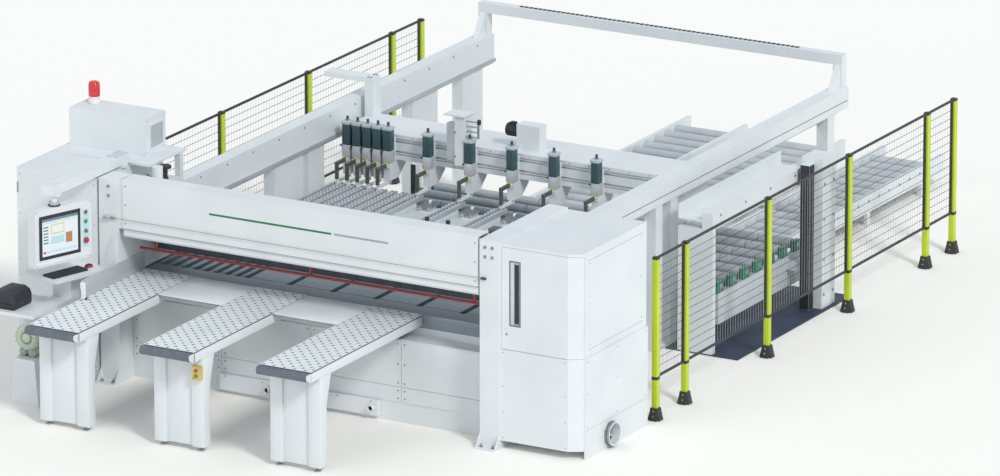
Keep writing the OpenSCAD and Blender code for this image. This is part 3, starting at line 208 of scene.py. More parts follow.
def makePaints():
    # Powder-coated sheet steel: near white, faint orange peel, soft sheen
    grained("powderCoatWhite", "#E4E8E9", "#DADFE1", (0.38, 0.5), grainMm=6, bump=0.08)
    # The same coat on the air tables' wear surface, a little brighter and smoother
    grained("laminateWhite", "#EDF1F1", "#E2E7E8", (0.25, 0.36), grainMm=4, bump=0.04)
    # Cooler grey-white coat on the lift and the bed's covers
    grained("powderCoatGrey", "#D4D9DC", "#C2C8CC", (0.4, 0.52), grainMm=6, bump=0.08)
    # Mid-grey enamel of seams and small sheet parts; also painted shade in recesses, slots and the gap at
    # the beam cover's right end
    grained("enamelGrey", "#A9AFB3", "#989EA3", (0.4, 0.5), grainMm=5)
    # Gloss enamel on the trip bar, bright where light catches the round
    grained("enamelRed", "#A3262A", "#861D21", (0.25, 0.36), grainMm=3, coat=0.3)
    # Yellow-green coat of the fence posts
    grained("fenceGreen", "#CBDD33", "#B7CB27", (0.38, 0.48), grainMm=4)
    # Black coat of the fence frames
    grained("fenceBlack", "#3A3E42", "#2A2D31", (0.45, 0.6), grainMm=3)
    # Dark blue deck under the lift, partly blue paint and partly painted shade of the lift above; dull with
    # foot traffic
    grained("navyDeckAndShade", "#424B61", "#323A4E", (0.55, 0.7), mottleMm=300)
    # Dull green enamel on bearing blocks
    grained("bearingGreen", "#2B8A66", "#1B6B4D", (0.35, 0.5), grainMm=3)
    # Petrol enamel on the lift's cross bars
    grained("crossTeal", "#3E6E70", "#2E5A5C", (0.4, 0.5), grainMm=4)
    # Cast blower housing in pale green paint with a sandy texture
    grained("blowerGreen", "#BECBB5", "#A9B79F", (0.5, 0.62), grainMm=3, bump=0.3)
    # Yellow paint of the rubber-tipped stops
    grained("stopYellow", "#DDD04A", "#C9B93A", (0.45, 0.55), grainMm=3)
    # Plain green trim paint of the front stripe
    grained("trimGreen", "#2A7C4C", "#226B40", (0.35, 0.45), grainMm=5)


def makeMetals():
    # Ground and oiled table plate: long fine scratches across the saw line
    grained("groundSteel", "#9AA6AF", "#7E8A93", (0.35, 0.5), 0.45, 240, 3, (0.08, 1, 1), 0.2)
    # Turned and polished rollers, brighter, marked around
    grained("rollerSteel", "#C2C8CD", "#A9B0B6", (0.42, 0.55), 0.25, 160, 3, (1, 0.3, 1), 0.12)
    # Zinc-plated bolts and shafts, cool and a little cloudy
    grained("zincSteel", "#B4B9BD", "#8E949A", (0.25, 0.4), 0.8, 40, 2)
    # Saw blade steel, ground in a fine circular way
    grained("bladeSteel", "#AEB6BD", "#939BA3", (0.2, 0.32), 0.9, 60, 1.5)
    # Clear anodised extrusion, drawn lines along its length
    grained("drawnAluminium", "#D2D6D9", "#BCC1C5", (0.35, 0.46), 0.3, 200, 3, (1, 0.05, 1), 0.15)
    # Dark teal hard-anodised cylinder barrels
    grained("anodisedTeal", "#48696E", "#37575D", (0.3, 0.42), 0.2, 60, 2, (1, 1, 0.1))
    # Phosphated dark steel of the press beam and arbor block
    grained("darkSteel", "#53595F", "#3B4046", (0.4, 0.55), 0.35, 120, 3)
    # Oiled cast iron of the jaws, dark as old bronze
    grained("jawBronze", "#68675C", "#514F45", (0.45, 0.6), 0.2, 90, 3)
    # Slate grey of the terminal box; also painted shade on the bare sheet under the air tables' holes, deep
    # in seams and between the track rails
    grained("slateGreyAndShade", "#6A7076", "#5A6066", (0.6, 0.75), grainMm=4)
    # Dull near black: black small parts, and painted shade inside slots and sockets
    grained("blackAndSlotShade", "#1B1D20", "#121416", (0.6, 0.8), grainMm=4)


def makePlastics():
    # Moulded ABS in dark grey, fine spark texture
    grained("absBlack", "#33363A", "#26282B", (0.45, 0.6), grainMm=1.5, bump=0.25, mottleMm=80)
    # Moulded ABS in light grey
    grained("absGrey", "#C4C8CB", "#B3B8BB", (0.42, 0.55), grainMm=1.5, bump=0.2, mottleMm=80)
    # Nitrile rubber sleeve of the front rollers
    grained("rollerRubber", "#6C747D", "#5A626B", (0.42, 0.55), grainMm=3, bump=0.2, mottleMm=90)
    # Polyamide caps and strips, milky and smooth
    grained("nylonWhite", "#EDEFF0", "#DDE0E2", (0.3, 0.4), grainMm=3, mottleMm=40)
    # Khaki switch box of glass-filled plastic
    grained("boxKhaki", "#DCC273", "#C6AB5E", (0.45, 0.58), grainMm=2, mottleMm=60)
    # Polycarbonate button caps, clear-coated
    grained("buttonRed", "#D02427", "#B41B1F", (0.16, 0.24), grainMm=2, coat=0.5, mottleMm=20)
    grained("buttonGreen", "#22A04A", "#1A873D", (0.16, 0.24), grainMm=2, coat=0.5, mottleMm=20)
    # PVC-covered pull wire, tan with a slight twist of colour
    grained("wireTan", "#A98E66", "#8F7651", (0.5, 0.62), grainMm=4, mottleMm=50)
    # Polycarbonate guard in front of the left column, nearly clear
    clear = grained("guardClear", "#E8EDF0", "#DDE4E8", (0.12, 0.2), grainMm=5, mottleMm=200)
    clear.inputs["Alpha"].default_value = 0.28
    # Red polycarbonate dome, lit a little from inside by its ribs
    lit = grained("domeRed", "#E8353A", "#CE2126", (0.1, 0.18), grainMm=4, mottleMm=30, coat=0.6)
    lit.inputs["Subsurface Weight"].default_value = 0.25
    lit.inputs["Subsurface Radius"].default_value = (0.02, 0.004, 0.004)


def makeScreenTones():
    # Panel glass over flat inks: each tone is one ink of the generic screen
    inks = {"inkPale": "#E9EFF2", "inkAqua": "#BFE0E6", "inkYellow": "#E6D58C", "inkBrown": "#B98A5E",
            "inkRed": "#CF3A3A", "inkSlate": "#7B8B95", "inkGreen": "#5FA36B"}
    for name, colour in inks.items():
        grained(name, colour, colour, (0.12, 0.2), grainMm=3, mottleMm=60, bump=0.0, coat=0.4)


makePaints()
makeMetals()
makePlastics()
makeScreenTones()
print("materials made:", len(madeMaterials))

# Modelling helpers: each part starts as a primitive and is shaped and bevelled

toFront, toRight, toTop = Vector((0, -1, 0)), Vector((1, 0, 0)), Vector((0, 0, 1))
helperSetup = {"bevelAngle": 40, "smoothAngle": 35}  # degrees


def clearSelection():
    if bpy.context.object and bpy.context.object.mode != "OBJECT":
        bpy.ops.object.mode_set(mode="OBJECT")
    bpy.ops.object.select_all(action="DESELECT")


def pick(thing):
    clearSelection()
    thing.select_set(True)
    bpy.context.view_layer.objects.active = thing


def applyModifier(thing, kind, **settings):
    modifier = thing.modifiers.new(kind.lower(), kind)
    for name, value in settings.items():
        setattr(modifier, name, value)
    bpy.context.view_layer.objects.active = thing
    bpy.ops.object.modifier_apply(modifier=modifier.name)
    return thing


def bevelled(thing, width, segments=2):
    if width:
        applyModifier(thing, "BEVEL", width=width, segments=segments, limit_method="ANGLE",
                      angle_limit=math.radians(helperSetup["bevelAngle"]))
    return thing


def finishPart(thing, material):
    pick(thing)
    bpy.ops.object.transform_apply(location=True, rotation=True, scale=True)
    thing.data.materials.clear()
    thing.data.materials.append(madeMaterials[material])
    return thing


def aimed(along, material):
    # The new upright primitive, turned to lie along a direction
    part = bpy.context.object
    part.rotation_mode = "QUATERNION"
    part.rotation_quaternion = toTop.rotation_difference(along)
    return finishPart(part, material)


def block(low, high, material, edge=0.004, segments=2):
    low, high = Vector(low), Vector(high)
    clearSelection()
    bpy.ops.mesh.primitive_cube_add(size=1, location=(low + high) / 2)
    part = bpy.context.object
    part.scale = high - low
    return bevelled(finishPart(part, material), edge, segments)


def rod(start, along, radius, material, sides=24, edge=0.0, endRadius=None):
    clearSelection()
    bpy.ops.mesh.primitive_cone_add(vertices=sides, radius1=radius,
                                    radius2=radius if endRadius is None else endRadius,
                                    depth=along.length, location=Vector(start) + along / 2)
    return bevelled(aimed(along, material), edge)


def ring(start, along, radius, wall, material, sides=32, edge=0.002):
    clearSelection()
    bpy.ops.mesh.primitive_cylinder_add(vertices=sides, radius=radius, depth=along.length,
                                        location=Vector(start) + along / 2, end_fill_type="NOTHING")
    return bevelled(applyModifier(aimed(along, material), "SOLIDIFY", thickness=wall, offset=-1), edge)


def dome(centre, radius, material, squash=(1, 1, 1), rings=8, sides=24):
    clearSelection()
    bpy.ops.mesh.primitive_uv_sphere_add(segments=sides, ring_count=rings, radius=radius, location=centre)
    part = bpy.context.object
    part.scale = squash
    return finishPart(part, material)


def plate(outline, axis, start, end, material, edge=0.004):
    # An outline drawn across an axis, filled and extruded along it
    clearSelection()
    bpy.ops.mesh.primitive_circle_add(vertices=len(outline), radius=1, fill_type="NGON")
    part = bpy.context.object
    index = "xyz".index(axis)
    for vertex, (u, v) in zip(part.data.vertices, outline):
        place = [u, v]
        place.insert(index, start)
        vertex.co = place
    step = [0, 0, 0]
    step[index] = end - start
    bpy.ops.object.mode_set(mode="EDIT")
    bpy.ops.mesh.select_all(action="SELECT")
    bpy.ops.mesh.extrude_region_move(TRANSFORM_OT_translate={"value": step})
    bpy.ops.mesh.select_all(action="SELECT")
    bpy.ops.mesh.normals_make_consistent(inside=False)
    bpy.ops.object.mode_set(mode="OBJECT")
    part.location = (0, 0, 0)
    return bevelled(finishPart(part, material), edge)


def joined(parts, name):
    clearSelection()
    for part in parts:
        part.select_set(True)
    bpy.context.view_layer.objects.active = parts[0]
    if len(parts) > 1:
        bpy.ops.object.join()
    whole = bpy.context.object
    whole.name = name
    whole.data.name = name
    return whole


def repeated(part, count, step):
    return applyModifier(part, "ARRAY", count=count, use_relative_offset=False, use_constant_offset=True,
                         constant_offset_displace=step)


def copied(piece, name, shift=(0, 0, 0)):
    other = piece.copy()
    other.data = piece.data.copy()
    other.name = name
    other.data.name = name
    other.data.transform(Matrix.Translation(shift))
    bpy.context.scene.collection.objects.link(other)
    return other


def around(part, count, pivot, axis):
    # The part and its copies at even turns about an axis
    parts = [part] + [copied(part, part.name) for i in range(count - 1)]
    place = Matrix.Translation(pivot)
    for i, other in enumerate(parts):
        other.data.transform(place @ Matrix.Rotation(2 * math.pi * i / count, 4, axis) @ place.inverted())
    return parts


def shifted(parts, place):
    for part in parts:
        part.data.transform(Matrix.Translation(place))
    return parts


def placed(piece, body, slotName, *stands):
    pick(piece)
    bpy.ops.object.shade_smooth_by_angle(angle=math.radians(helperSetup["smoothAngle"]))
    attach(piece, body)
    if stands:
        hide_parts(*stands)
    return piece


def built(parts, name, slotName, *stands, body="machine"):
    return placed(joined(parts, name), body, slotName, *stands)


def buildCopies(parts, name, digits, shifts, slotName, *stands, body="machine"):
    # Modelled once and copied to each place, the first copy stands for the CAD nodes
    model = joined(parts, name + "Model")
    for i, shift in enumerate(shifts):
        piece = copied(model, f"{name}{i + 1:0{digits}d}", shift)
        placed(piece, body, slotName, *(stands if i == 0 else ()))
    bpy.data.objects.remove(model)


def coat(material, *nodeNames):
    for nodeName in nodeNames:
        cadNodes[nodeName].data.materials.clear()
        cadNodes[nodeName].data.materials.append(madeMaterials[material])


def bolt(centre, toward, size, material="zincSteel"):
    # A washer and a hexagon head
    centre = Vector(centre)
    washer = rod(centre, toward * size * 0.25, size * 1.5, material, 16)
    head = rod(centre + toward * size * 0.25, toward * size * 0.7, size, material, 6, size * 0.08)
    return [washer, head]


def screw(centre, toward, size, material="zincSteel"):
    # A low button head; its socket is a dark disc of painted shade
    centre = Vector(centre)
    head = rod(centre, toward * size * 0.5, size, material, 12, 0, size * 0.7)
    socket = rod(centre + toward * size * 0.5, toward * size * 0.02, size * 0.35, "blackAndSlotShade", 6)
    return [head, socket]


def fixings(make, xs, ys, zs, toward, size, material="zincSteel"):
    # One screw or bolt wherever the given places cross
    return [part for x in xs for y in ys for z in zs for part in make((x, y, z), toward, size, material)]


# Saw body

panelLook = {"count": 4, "inset": 0.035, "rows": (0.305, 0.38, 0.56), "screw": 0.007}
coverLook = {"seam": (1.502, 1.512), "lip": (1.975, 1.981), "screwRows": (1.56, 1.74, 1.92), "screw": 0.008,
             "stripeZ": (1.776, 1.794), "stripeThick": 0.0015, "greenX": (-0.95, 0.35),
             "greyX": (0.38, 0.95), "columns": 1.92, "bandHeight": 0.016,
             "bands": ((1.432, -0.66), (1.452, -0.667), (1.474, -0.667))}
ductLook = {"front": -0.48, "ports": (-0.436, 0.67), "portZ": 0.115, "screws": (-0.9, -0.5, -0.1, 0.3, 0.66)}
columnLook = {"boltX": (-2.0225, 1.975, 2.05), "boltZ": (1.895, 1.805), "boltY": -0.68,
              "anchorX": (-2.0825, -1.9625, 1.9625, 2.0825), "anchorY": -0.735}
wireLook = {"y": -0.694, "z": 1.6, "face": -0.66}
beamLook = {"top": 1.72, "vents": (0.926, 1.147), "regulator": (-1.855, 0.055)}
bladeLook = {"mainTeeth": ("main_blade_body", (1.66, 0, 0.78), 0.208, 60),
             "scoringTeeth": ("scoring_blade_body", (1.33, 0, 0.813), 0.0885, 28)}


def coatBody():
    coat("powderCoatWhite", "machine_base", "front_panels", "left_column", "right_column", "roof_plate",
         "control_cabinet", "bridge_beam", "beam_cover", "right_cabinet", "cabinet_door", "side_beams",
         "beam_posts", "rear_gantry", "pusher_beam", "operator_desk", "console_arm", "console_housing",
         "cabinet_cooler", "bed_frame", "lift_frame")
    coat("groundSteel", "work_table")
    coat("rollerSteel", "linear_rails")
    coat("darkSteel", "press_beam", "arbor_block")
    coat("enamelRed", "safety_bar")
    coat("enamelGrey", "saw_carriage")
    coat("bladeSteel", "main_blade", "scoring_blade")
    coat("wireTan", "pull_wire")
    coat("absGrey", "pull_switch")


def buildPanelScrews():
    low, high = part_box("front_panels")
    inset = panelLook["inset"]
    step = (high.x - low.x) / panelLook["count"]
    columns = [low.x + i * step + side for i in range(panelLook["count"]) for side in (inset, step - inset)]
    rows = (low.z + inset, *panelLook["rows"], high.z - inset)
    screws = fixings(screw, columns, (low.y,), rows, toFront, panelLook["screw"], "darkSteel")
    built(screws, "panelScrews", "bright_steel")


def buildCoverTrim():
    # Two light bands of the folded lip, strips that close the gaps to the columns, a plain stripe
    low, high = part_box("beam_cover")
    (seamLow, seamHigh), (lipLow, lipHigh) = coverLook["seam"], coverLook["lip"]
    parts = [block((low.x, low.y - 0.001, seamLow), (high.x, low.y + 0.004, seamHigh), "enamelGrey", 0),
             block((low.x + 0.004, low.y - 0.0015, lipLow), (high.x - 0.004, low.y + 0.004, lipHigh),
                   "nylonWhite", 0)]
    parts += fixings(screw, (low.x + 0.03, high.x - 0.03), (low.y,), coverLook["screwRows"], toFront,
                     coverLook["screw"])
    # The right strip's grey is painted shade in the recess between the cover and the right column
    half = coverLook["columns"] - 0.0005
    for a, b, tone in ((-half, low.x + 0.002, "powderCoatWhite"), (high.x - 0.002, half, "enamelGrey")):
        parts.append(block((a, low.y + 0.014, 1.503), (b, low.y + 0.02, high.z - 0.012), tone, 0))
    built(parts, "coverTrim", "white_paint")
    middle = (low.x + high.x) / 2
    stripeLow, stripeHigh = coverLook["stripeZ"]
    stripes = [block((middle + a, low.y - coverLook["stripeThick"], stripeLow),
                     (middle + b, low.y + 0.001, stripeHigh), tone, 0)
               for (a, b), tone in ((coverLook["greenX"], "trimGreen"), (coverLook["greyX"], "enamelGrey"))]
    built(stripes, "coverStripe", "white_paint")


def buildLipExtrusion():
    # Ribbed light extrusion under the cover and the toothed rack shadowed behind it
    low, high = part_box("beam_cover")
    parts = [block((low.x + 0.01, y, z), (high.x - 0.01, y + 0.012, z + coverLook["bandHeight"]),
                   "drawnAluminium", 0.003, 1) for z, y in coverLook["bands"]]
    parts.append(block((low.x + 0.02, -0.655, 1.436), (high.x - 0.02, -0.648, 1.49), "darkSteel", 0))
    built(parts, "lipExtrusion", "white_paint")


def buildTableTrim():
    # Screws and a bright strip along the table's front edge
    low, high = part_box("work_table")
    columns = [low.x + 0.14 + i * (high.x - low.x - 0.28) / 13 for i in range(14)]
    parts = fixings(screw, columns, (low.y,), (0.93,), toFront, 0.009)
    parts.append(block((low.x + 0.02, low.y - 0.003, 0.982), (high.x - 0.02, low.y + 0.002, 0.994),
                       "zincSteel", 0))
    built(parts, "tableScrews", "bright_steel")


def buildBaseTrim():
    # Rings and caps of the duct ports, and the duct's screws
    front, z = ductLook["front"], ductLook["portZ"]
    parts = []
    for x in ductLook["ports"]:
        parts += [ring((x, front - 0.03, z), toFront * 0.015, 0.034, 0.008, "nylonWhite"),
                  rod((x, front - 0.02, z), toFront * 0.002, 0.026, "blackAndSlotShade")]
    parts += fixings(screw, ductLook["screws"], (front,), (0.175,), toFront, 0.006, "darkSteel")
    built(parts, "ductPorts", "white_paint")


def buildColumnBolts():
    bolts = fixings(bolt, columnLook["boltX"], (columnLook["boltY"],), columnLook["boltZ"], toFront, 0.011)
    built(bolts, "columnBolts", "bright_steel", "column_bolts")
    y = columnLook["anchorY"]
    anchors = fixings(bolt, columnLook["anchorX"], (y,), (0.016,), toTop, 0.013)
    anchors += [rod((x, y, 0.02), toTop * 0.025, 0.008, "zincSteel", 12, 0.001)
                for x in columnLook["anchorX"]]
    built(anchors, "floorAnchors", "bright_steel")


def buildPullSwitch():
    # Switch at the near end of the pull wire, a clear guard beside it
    low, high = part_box("pull_switch")
    y, z = wireLook["y"], wireLook["z"]
    parts = [block(low, (low.x + 0.07, high.y, high.z), "absGrey", 0.006, 3),
             block((low.x + 0.012, low.y - 0.002, low.z + 0.008),
                   (low.x + 0.045, low.y + 0.002, high.z - 0.008), "enamelGrey", 0.001),
             rod((low.x + 0.07, y, z), toRight * (high.x - low.x - 0.07), 0.006, "zincSteel", 12, 0.001),
             ring((high.x - 0.02, y, z), toRight * -0.025, 0.011, 0.004, "zincSteel")]
    built(parts, "pullSwitch", "grey_plastic", "pull_switch")
    outline = [(-0.7, 1.42), (-0.682, 1.42), (-0.682, 1.12), (-0.86, 1.12)]
    guard = plate(outline, "x", -1.975, -1.969, "guardClear", 0.001)
    built([guard], "columnGuard", "grey_plastic")


def buildWireClamp():
    # Clamp that holds the far end of the pull wire, on the right column
    y, z, face = wireLook["y"], wireLook["z"], wireLook["face"]
    parts = [block((1.94, y - 0.008, z - 0.01), (1.99, face + 0.002, z + 0.01), "darkSteel", 0.003),
             rod((1.915, y, z), toRight * 0.03, 0.005, "zincSteel", 12, 0.001)]
    parts += fixings(bolt, (1.978,), (face,), (z - 0.022, z + 0.022), toFront, 0.008)
    built(parts, "wireClamp", "bright_steel")


def buildBeamTop():
    # Terminal box, two vent caps and an air regulator on top of the main beam, behind the cover
    top = beamLook["top"]
    parts = [block((1.605, 0.03, top), (1.765, 0.14, top + 0.115), "slateGreyAndShade", 0.008, 3),
             block((1.6, 0.025, top + 0.075), (1.77, 0.145, top + 0.084), "darkSteel", 0.003)]
    for x in beamLook["vents"]:
        parts += [rod((x, 0.1, top), toTop * 0.07, 0.014, "zincSteel", 16, 0.002),
                  rod((x, 0.1, top + 0.07), toTop * 0.035, 0.021, "absBlack", 20, 0.004)]
    x, y = beamLook["regulator"]
    parts += [rod((x, y, top), toTop * 0.185, 0.024, "absBlack", 24, 0.003),
              rod((x, y, top + 0.185), toTop * 0.03, 0.06, "absBlack", 32, 0.008),
              rod((x, y, top + 0.06), toTop * 0.04, 0.032, "darkSteel", 24, 0.004),
              block((-1.995, -0.115, top), (-1.93, -0.045, top + 0.125), "fenceBlack", 0.006, 2),
              rod((-1.962, -0.08, top + 0.12), toTop * 0.025, 0.016, "zincSteel", 16, 0.002)]
    built(parts, "beamTopFittings", "black_plastic")


def buildBladeTeeth():
    # Carbide tips round the rims of both blades
    for name, (body, centre, radius, count) in bladeLook.items():
        tip = block((centre[0] + radius - 0.006, -0.0022, centre[2] - 0.002),
                    (centre[0] + radius + 0.0012, 0.0022, centre[2] + 0.002), "zincSteel", 0)
        built(around(tip, count, centre, "Y"), name, "bright_steel", body=body)


coatBody()
buildPanelScrews()
buildCoverTrim()
buildLipExtrusion()
buildTableTrim()
buildBaseTrim()
buildColumnBolts()
buildPullSwitch()
buildWireClamp()
buildBeamTop()
buildBladeTeeth()
print("saw body dressed")

# Air tables

tableLook = {"first": -1.92, "pitch": 1.227, "width": 0.536, "front": -2.25, "back": -0.23, "top": 1.0,
             "deck": 0.002, "rail": 0.1, "holeRadius": 0.016, "holeColumns": 10, "holeRows": 34}
tableShifts = [(i * tableLook["pitch"], 0, 0) for i in range(3)]
legLook = {"setBack": 0.16, "depth": 0.2, "top": 0.9, "foot": 0.045, "tip": 0.04, "knee": 0.62,
           "postShare": 0.24}
guideLook = {"count": 6, "depth": 0.012, "groove": 0.009}
boxLook = {"buttons": (0.04, 0.09), "inset": 0.012}


def holeTile(width, length):
    # A round hole, drawn out to the edges and corners of a rectangle, with a short wall downwards
    radius = tableLook["holeRadius"]
    clearSelection()
    bpy.ops.mesh.primitive_circle_add(vertices=12, radius=radius, fill_type="NOTHING")
    tile = bpy.context.object
    bpy.ops.object.mode_set(mode="EDIT")
    bpy.ops.mesh.select_all(action="SELECT")
    bpy.ops.mesh.extrude_region_move(TRANSFORM_OT_translate={"value": (0, 0, 0)})
    bpy.ops.transform.resize(value=(3, 3, 1))
    bpy.ops.object.mode_set(mode="OBJECT")
    vertices = tile.data.vertices
    for vertex in vertices:
        if vertex.co.to_2d().length > radius * 1.5:
            reach = max(abs(vertex.co.x), abs(vertex.co.y))
            vertex.co.x *= width / 2 / reach
            vertex.co.y *= length / 2 / reach
    for corner in [Vector((x * width / 2, y * length / 2, 0)) for x in (-1, 1) for y in (-1, 1)]:
        min(vertices, key=lambda vertex: (vertex.co - corner).length).co = corner
    pick(tile)
    bpy.ops.object.mode_set(mode="EDIT")
    bpy.ops.mesh.select_all(action="DESELECT")
    bpy.ops.object.mode_set(mode="OBJECT")
    for vertex in tile.data.vertices:
        vertex.select = vertex.co.to_2d().length < radius * 1.1
    for edge in tile.data.edges:
        edge.select = all(tile.data.vertices[i].select for i in edge.vertices)
    bpy.ops.object.mode_set(mode="EDIT")
    bpy.ops.mesh.extrude_region_move(TRANSFORM_OT_translate={"value": (0, 0, -tableLook["deck"])})
    bpy.ops.object.mode_set(mode="OBJECT")
    return finishPart(tile, "laminateWhite")


def perforatedDeck():
    # One tile with a hole and one without, laid like a chessboard, so the holes stagger
    width = tableLook["width"] / tableLook["holeColumns"]
    length = (tableLook["back"] - tableLook["front"]) / tableLook["holeRows"]
    tile = holeTile(width, length)
    tiles = [tile, copied(tile, "tile", (width, length, 0))]
    for x, y in ((width, 0), (0, length)):
        clearSelection()
        bpy.ops.mesh.primitive_plane_add(size=1, location=(x, y, 0))
        blank = bpy.context.object
        blank.scale = (width, length, 1)
        tiles.append(finishPart(blank, "laminateWhite"))
    deck = joined(tiles, "airDeck")
    repeated(deck, tableLook["holeColumns"] // 2, (2 * width, 0, 0))
    repeated(deck, tableLook["holeRows"] // 2, (0, 2 * length, 0))
    pick(deck)
    bpy.ops.object.mode_set(mode="EDIT")
    bpy.ops.mesh.select_all(action="SELECT")
    bpy.ops.mesh.remove_doubles(threshold=0.0002)
    bpy.ops.mesh.normals_make_consistent(inside=False)
    bpy.ops.object.mode_set(mode="OBJECT")
    if sum(face.normal.z * face.area for face in deck.data.polygons) < 0:
        deck.data.flip_normals()
    corner = (tableLook["first"] + width / 2, tableLook["front"] + length / 2, tableLook["top"])
    deck.data.transform(Matrix.Translation(corner))
    return deck


def buildAirTables():
    # The deck over a shadowed tray, folded sides, a brace and two bearing plates of the end roller
    x0, x1 = tableLook["first"], tableLook["first"] + tableLook["width"]
    y0, y1 = tableLook["front"], tableLook["back"]
    under = tableLook["top"] - tableLook["deck"]
    rail = tableLook["top"] - tableLook["rail"]
    side = under - 0.011
    parts = [perforatedDeck(),
             block((x0 + 0.002, y0 + 0.001, under - 0.004), (x1 - 0.002, y1, under - 0.0003),
                   "slateGreyAndShade", 0),
             block((x0 + 0.004, y0 + 0.002, under - 0.012), (x1 - 0.004, y1, under - 0.003), "darkSteel", 0),
             block((x0, y0, rail), (x0 + 0.02, y1, side), "powderCoatWhite", 0.004),
             block((x1 - 0.02, y0, rail), (x1, y1, side), "powderCoatWhite", 0.004),
             block((x0, y1 - 0.02, rail), (x1, y1, side), "powderCoatWhite", 0.003),
             block((x0, y0, rail), (x1, y0 + 0.02, side), "powderCoatWhite", 0.003),
             block((x0 + 0.02, y0 + 0.3, rail + 0.02), (x1 - 0.02, y0 + 0.36, rail + 0.06),
                   "powderCoatWhite", 0.003)]
    y, z = y0 - 0.048, 0.964
    outline = [(y - 0.026, z - 0.018), (y - 0.018, z - 0.028), (y0, rail + 0.004), (y0, z + 0.024),
               (y - 0.018, z + 0.024), (y - 0.026, z + 0.014)]
    for a, b, face, outward in ((x0, x0 + 0.012, x0, -toRight), (x1 - 0.012, x1, x1, toRight)):
        parts += [plate(outline, "x", a, b, "powderCoatWhite", 0.003),
                  rod(Vector((face, y, z)) - outward * 0.001, outward * 0.0008, 0.0225, "nylonWhite", 20)]
    buildCopies(parts, "airTable", 1, tableShifts, "white_paint", "air_table_tops")
    coat("rollerRubber", "end_roller_left", "end_roller_middle", "end_roller_right")


def buildFillers():
    # Plates that close the gaps between the tables at the saw line
    y, top = tableLook["back"], tableLook["top"]
    for i in (0, 1):
        a = tableLook["first"] + tableLook["width"] + i * tableLook["pitch"]
        b = tableLook["first"] + (i + 1) * tableLook["pitch"]
        filler = [block((a + 0.001, y - 0.63, top - 0.012), (b - 0.001, y, top - 0.001),
                        "laminateWhite", 0.003),
                  block((a + 0.02, y - 0.62, top - 0.05), (b - 0.02, y - 0.59, top - 0.013),
                        "enamelGrey", 0.003)]
        filler += fixings(screw, (a + 0.03, b - 0.03), (y - 0.05,), (top - 0.001,), toTop, 0.006)
        built(filler, f"fillerPlate{i + 1}", "white_paint")


def buildTableLegs():
    # Two folded posts with a recessed plate between them, on grey levelling discs
    x0, x1 = tableLook["first"] + 0.01, tableLook["first"] + tableLook["width"]
    y0 = tableLook["front"] + legLook["setBack"]
    y1 = y0 + legLook["depth"]
    foot, tip, top = legLook["foot"], legLook["tip"], legLook["top"]
    post = legLook["postShare"] * (x1 - x0)
    side = [(y0, foot), (y1 - 2 * tip, foot), (y1 - 2 * tip, legLook["knee"]), (y1, top), (y0, top)]
    parts = [plate(side, "x", x0, x0 + post, "powderCoatWhite", 0.006),
             plate(side, "x", x1 - post, x1, "powderCoatWhite", 0.006),
             block((x0 + post - 0.004, y0 + 0.025, foot + 0.004),
                   (x1 - post + 0.004, y1 - 2 * tip - 0.02, top - 0.002), "powderCoatWhite", 0.004)]
    y = (y0 + y1) / 2 - tip
    for x in (x0 + post / 2, x1 - post / 2):
        parts += [rod((x, y, 0), toTop * 0.012, 0.034, "enamelGrey", 24, 0.003, 0.03),
                  rod((x, y, 0.012), toTop * 0.012, 0.017, "zincSteel", 6, 0.001),
                  rod((x, y, 0.012), toTop * (foot - 0.01), 0.008, "zincSteel", 12)]
    buildCopies(parts, "tableLeg", 1, tableShifts, "white_paint", "air_table_frames")


def buildGuideFence():
    # Ribbed extrusion with a nylon nose and a dark foot
    low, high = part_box("guide_fence")
    size = high - low
    depth, groove = guideLook["depth"], guideLook["groove"]
    step = (size.z - 0.004) / guideLook["count"]
    profile = [(0, 0), (depth, 0)]
    for i in range(guideLook["count"]):
        z = 0.002 + i * step
        profile += [(depth, z + 0.1 * step), (groove, z + 0.2 * step), (groove, z + 0.34 * step),
                    (depth, z + 0.44 * step)]
    profile += [(depth, size.z), (0, size.z)]
    parts = [plate(profile, "y", 0.03, size.y, "drawnAluminium", 0),
             block((0, 0, 0.002), (0.05, 0.032, size.z - 0.012), "nylonWhite", 0.008, 3),
             block((0.001, -0.001, 0.02), (0.008, 0.02, size.z - 0.07), "blackAndSlotShade", 0.001),
             block((0.004, 0.004, 0), (0.066, 0.03, 0.016), "darkSteel", 0.003)]
    built(shifted(parts, low), "guideFence", "bare_aluminium", "guide_fence")


def buildRemoteBox():
    # Rings round the two buttons and a screw in each corner of the box
    low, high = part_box("remote_box")
    middle, inset = (low.x + high.x) / 2, boxLook["inset"]
    parts = [ring((middle, low.y - 0.0035, low.z + drop), toFront * -0.0045, 0.019, 0.004,
                  "zincSteel", 20, 0.001) for drop in boxLook["buttons"]]
    parts += fixings(screw, (low.x + inset, high.x - inset), (low.y,), (low.z + inset, high.z - inset),
                     toFront, 0.004)
    built(parts, "remoteBoxParts", "khaki_plastic")
    coat("boxKhaki", "remote_box")
    coat("buttonGreen", "remote_green")
    coat("buttonRed", "remote_red")


buildAirTables()
buildFillers()
buildTableLegs()
buildGuideFence()
buildRemoteBox()
print("air tables built")

# Operator's end

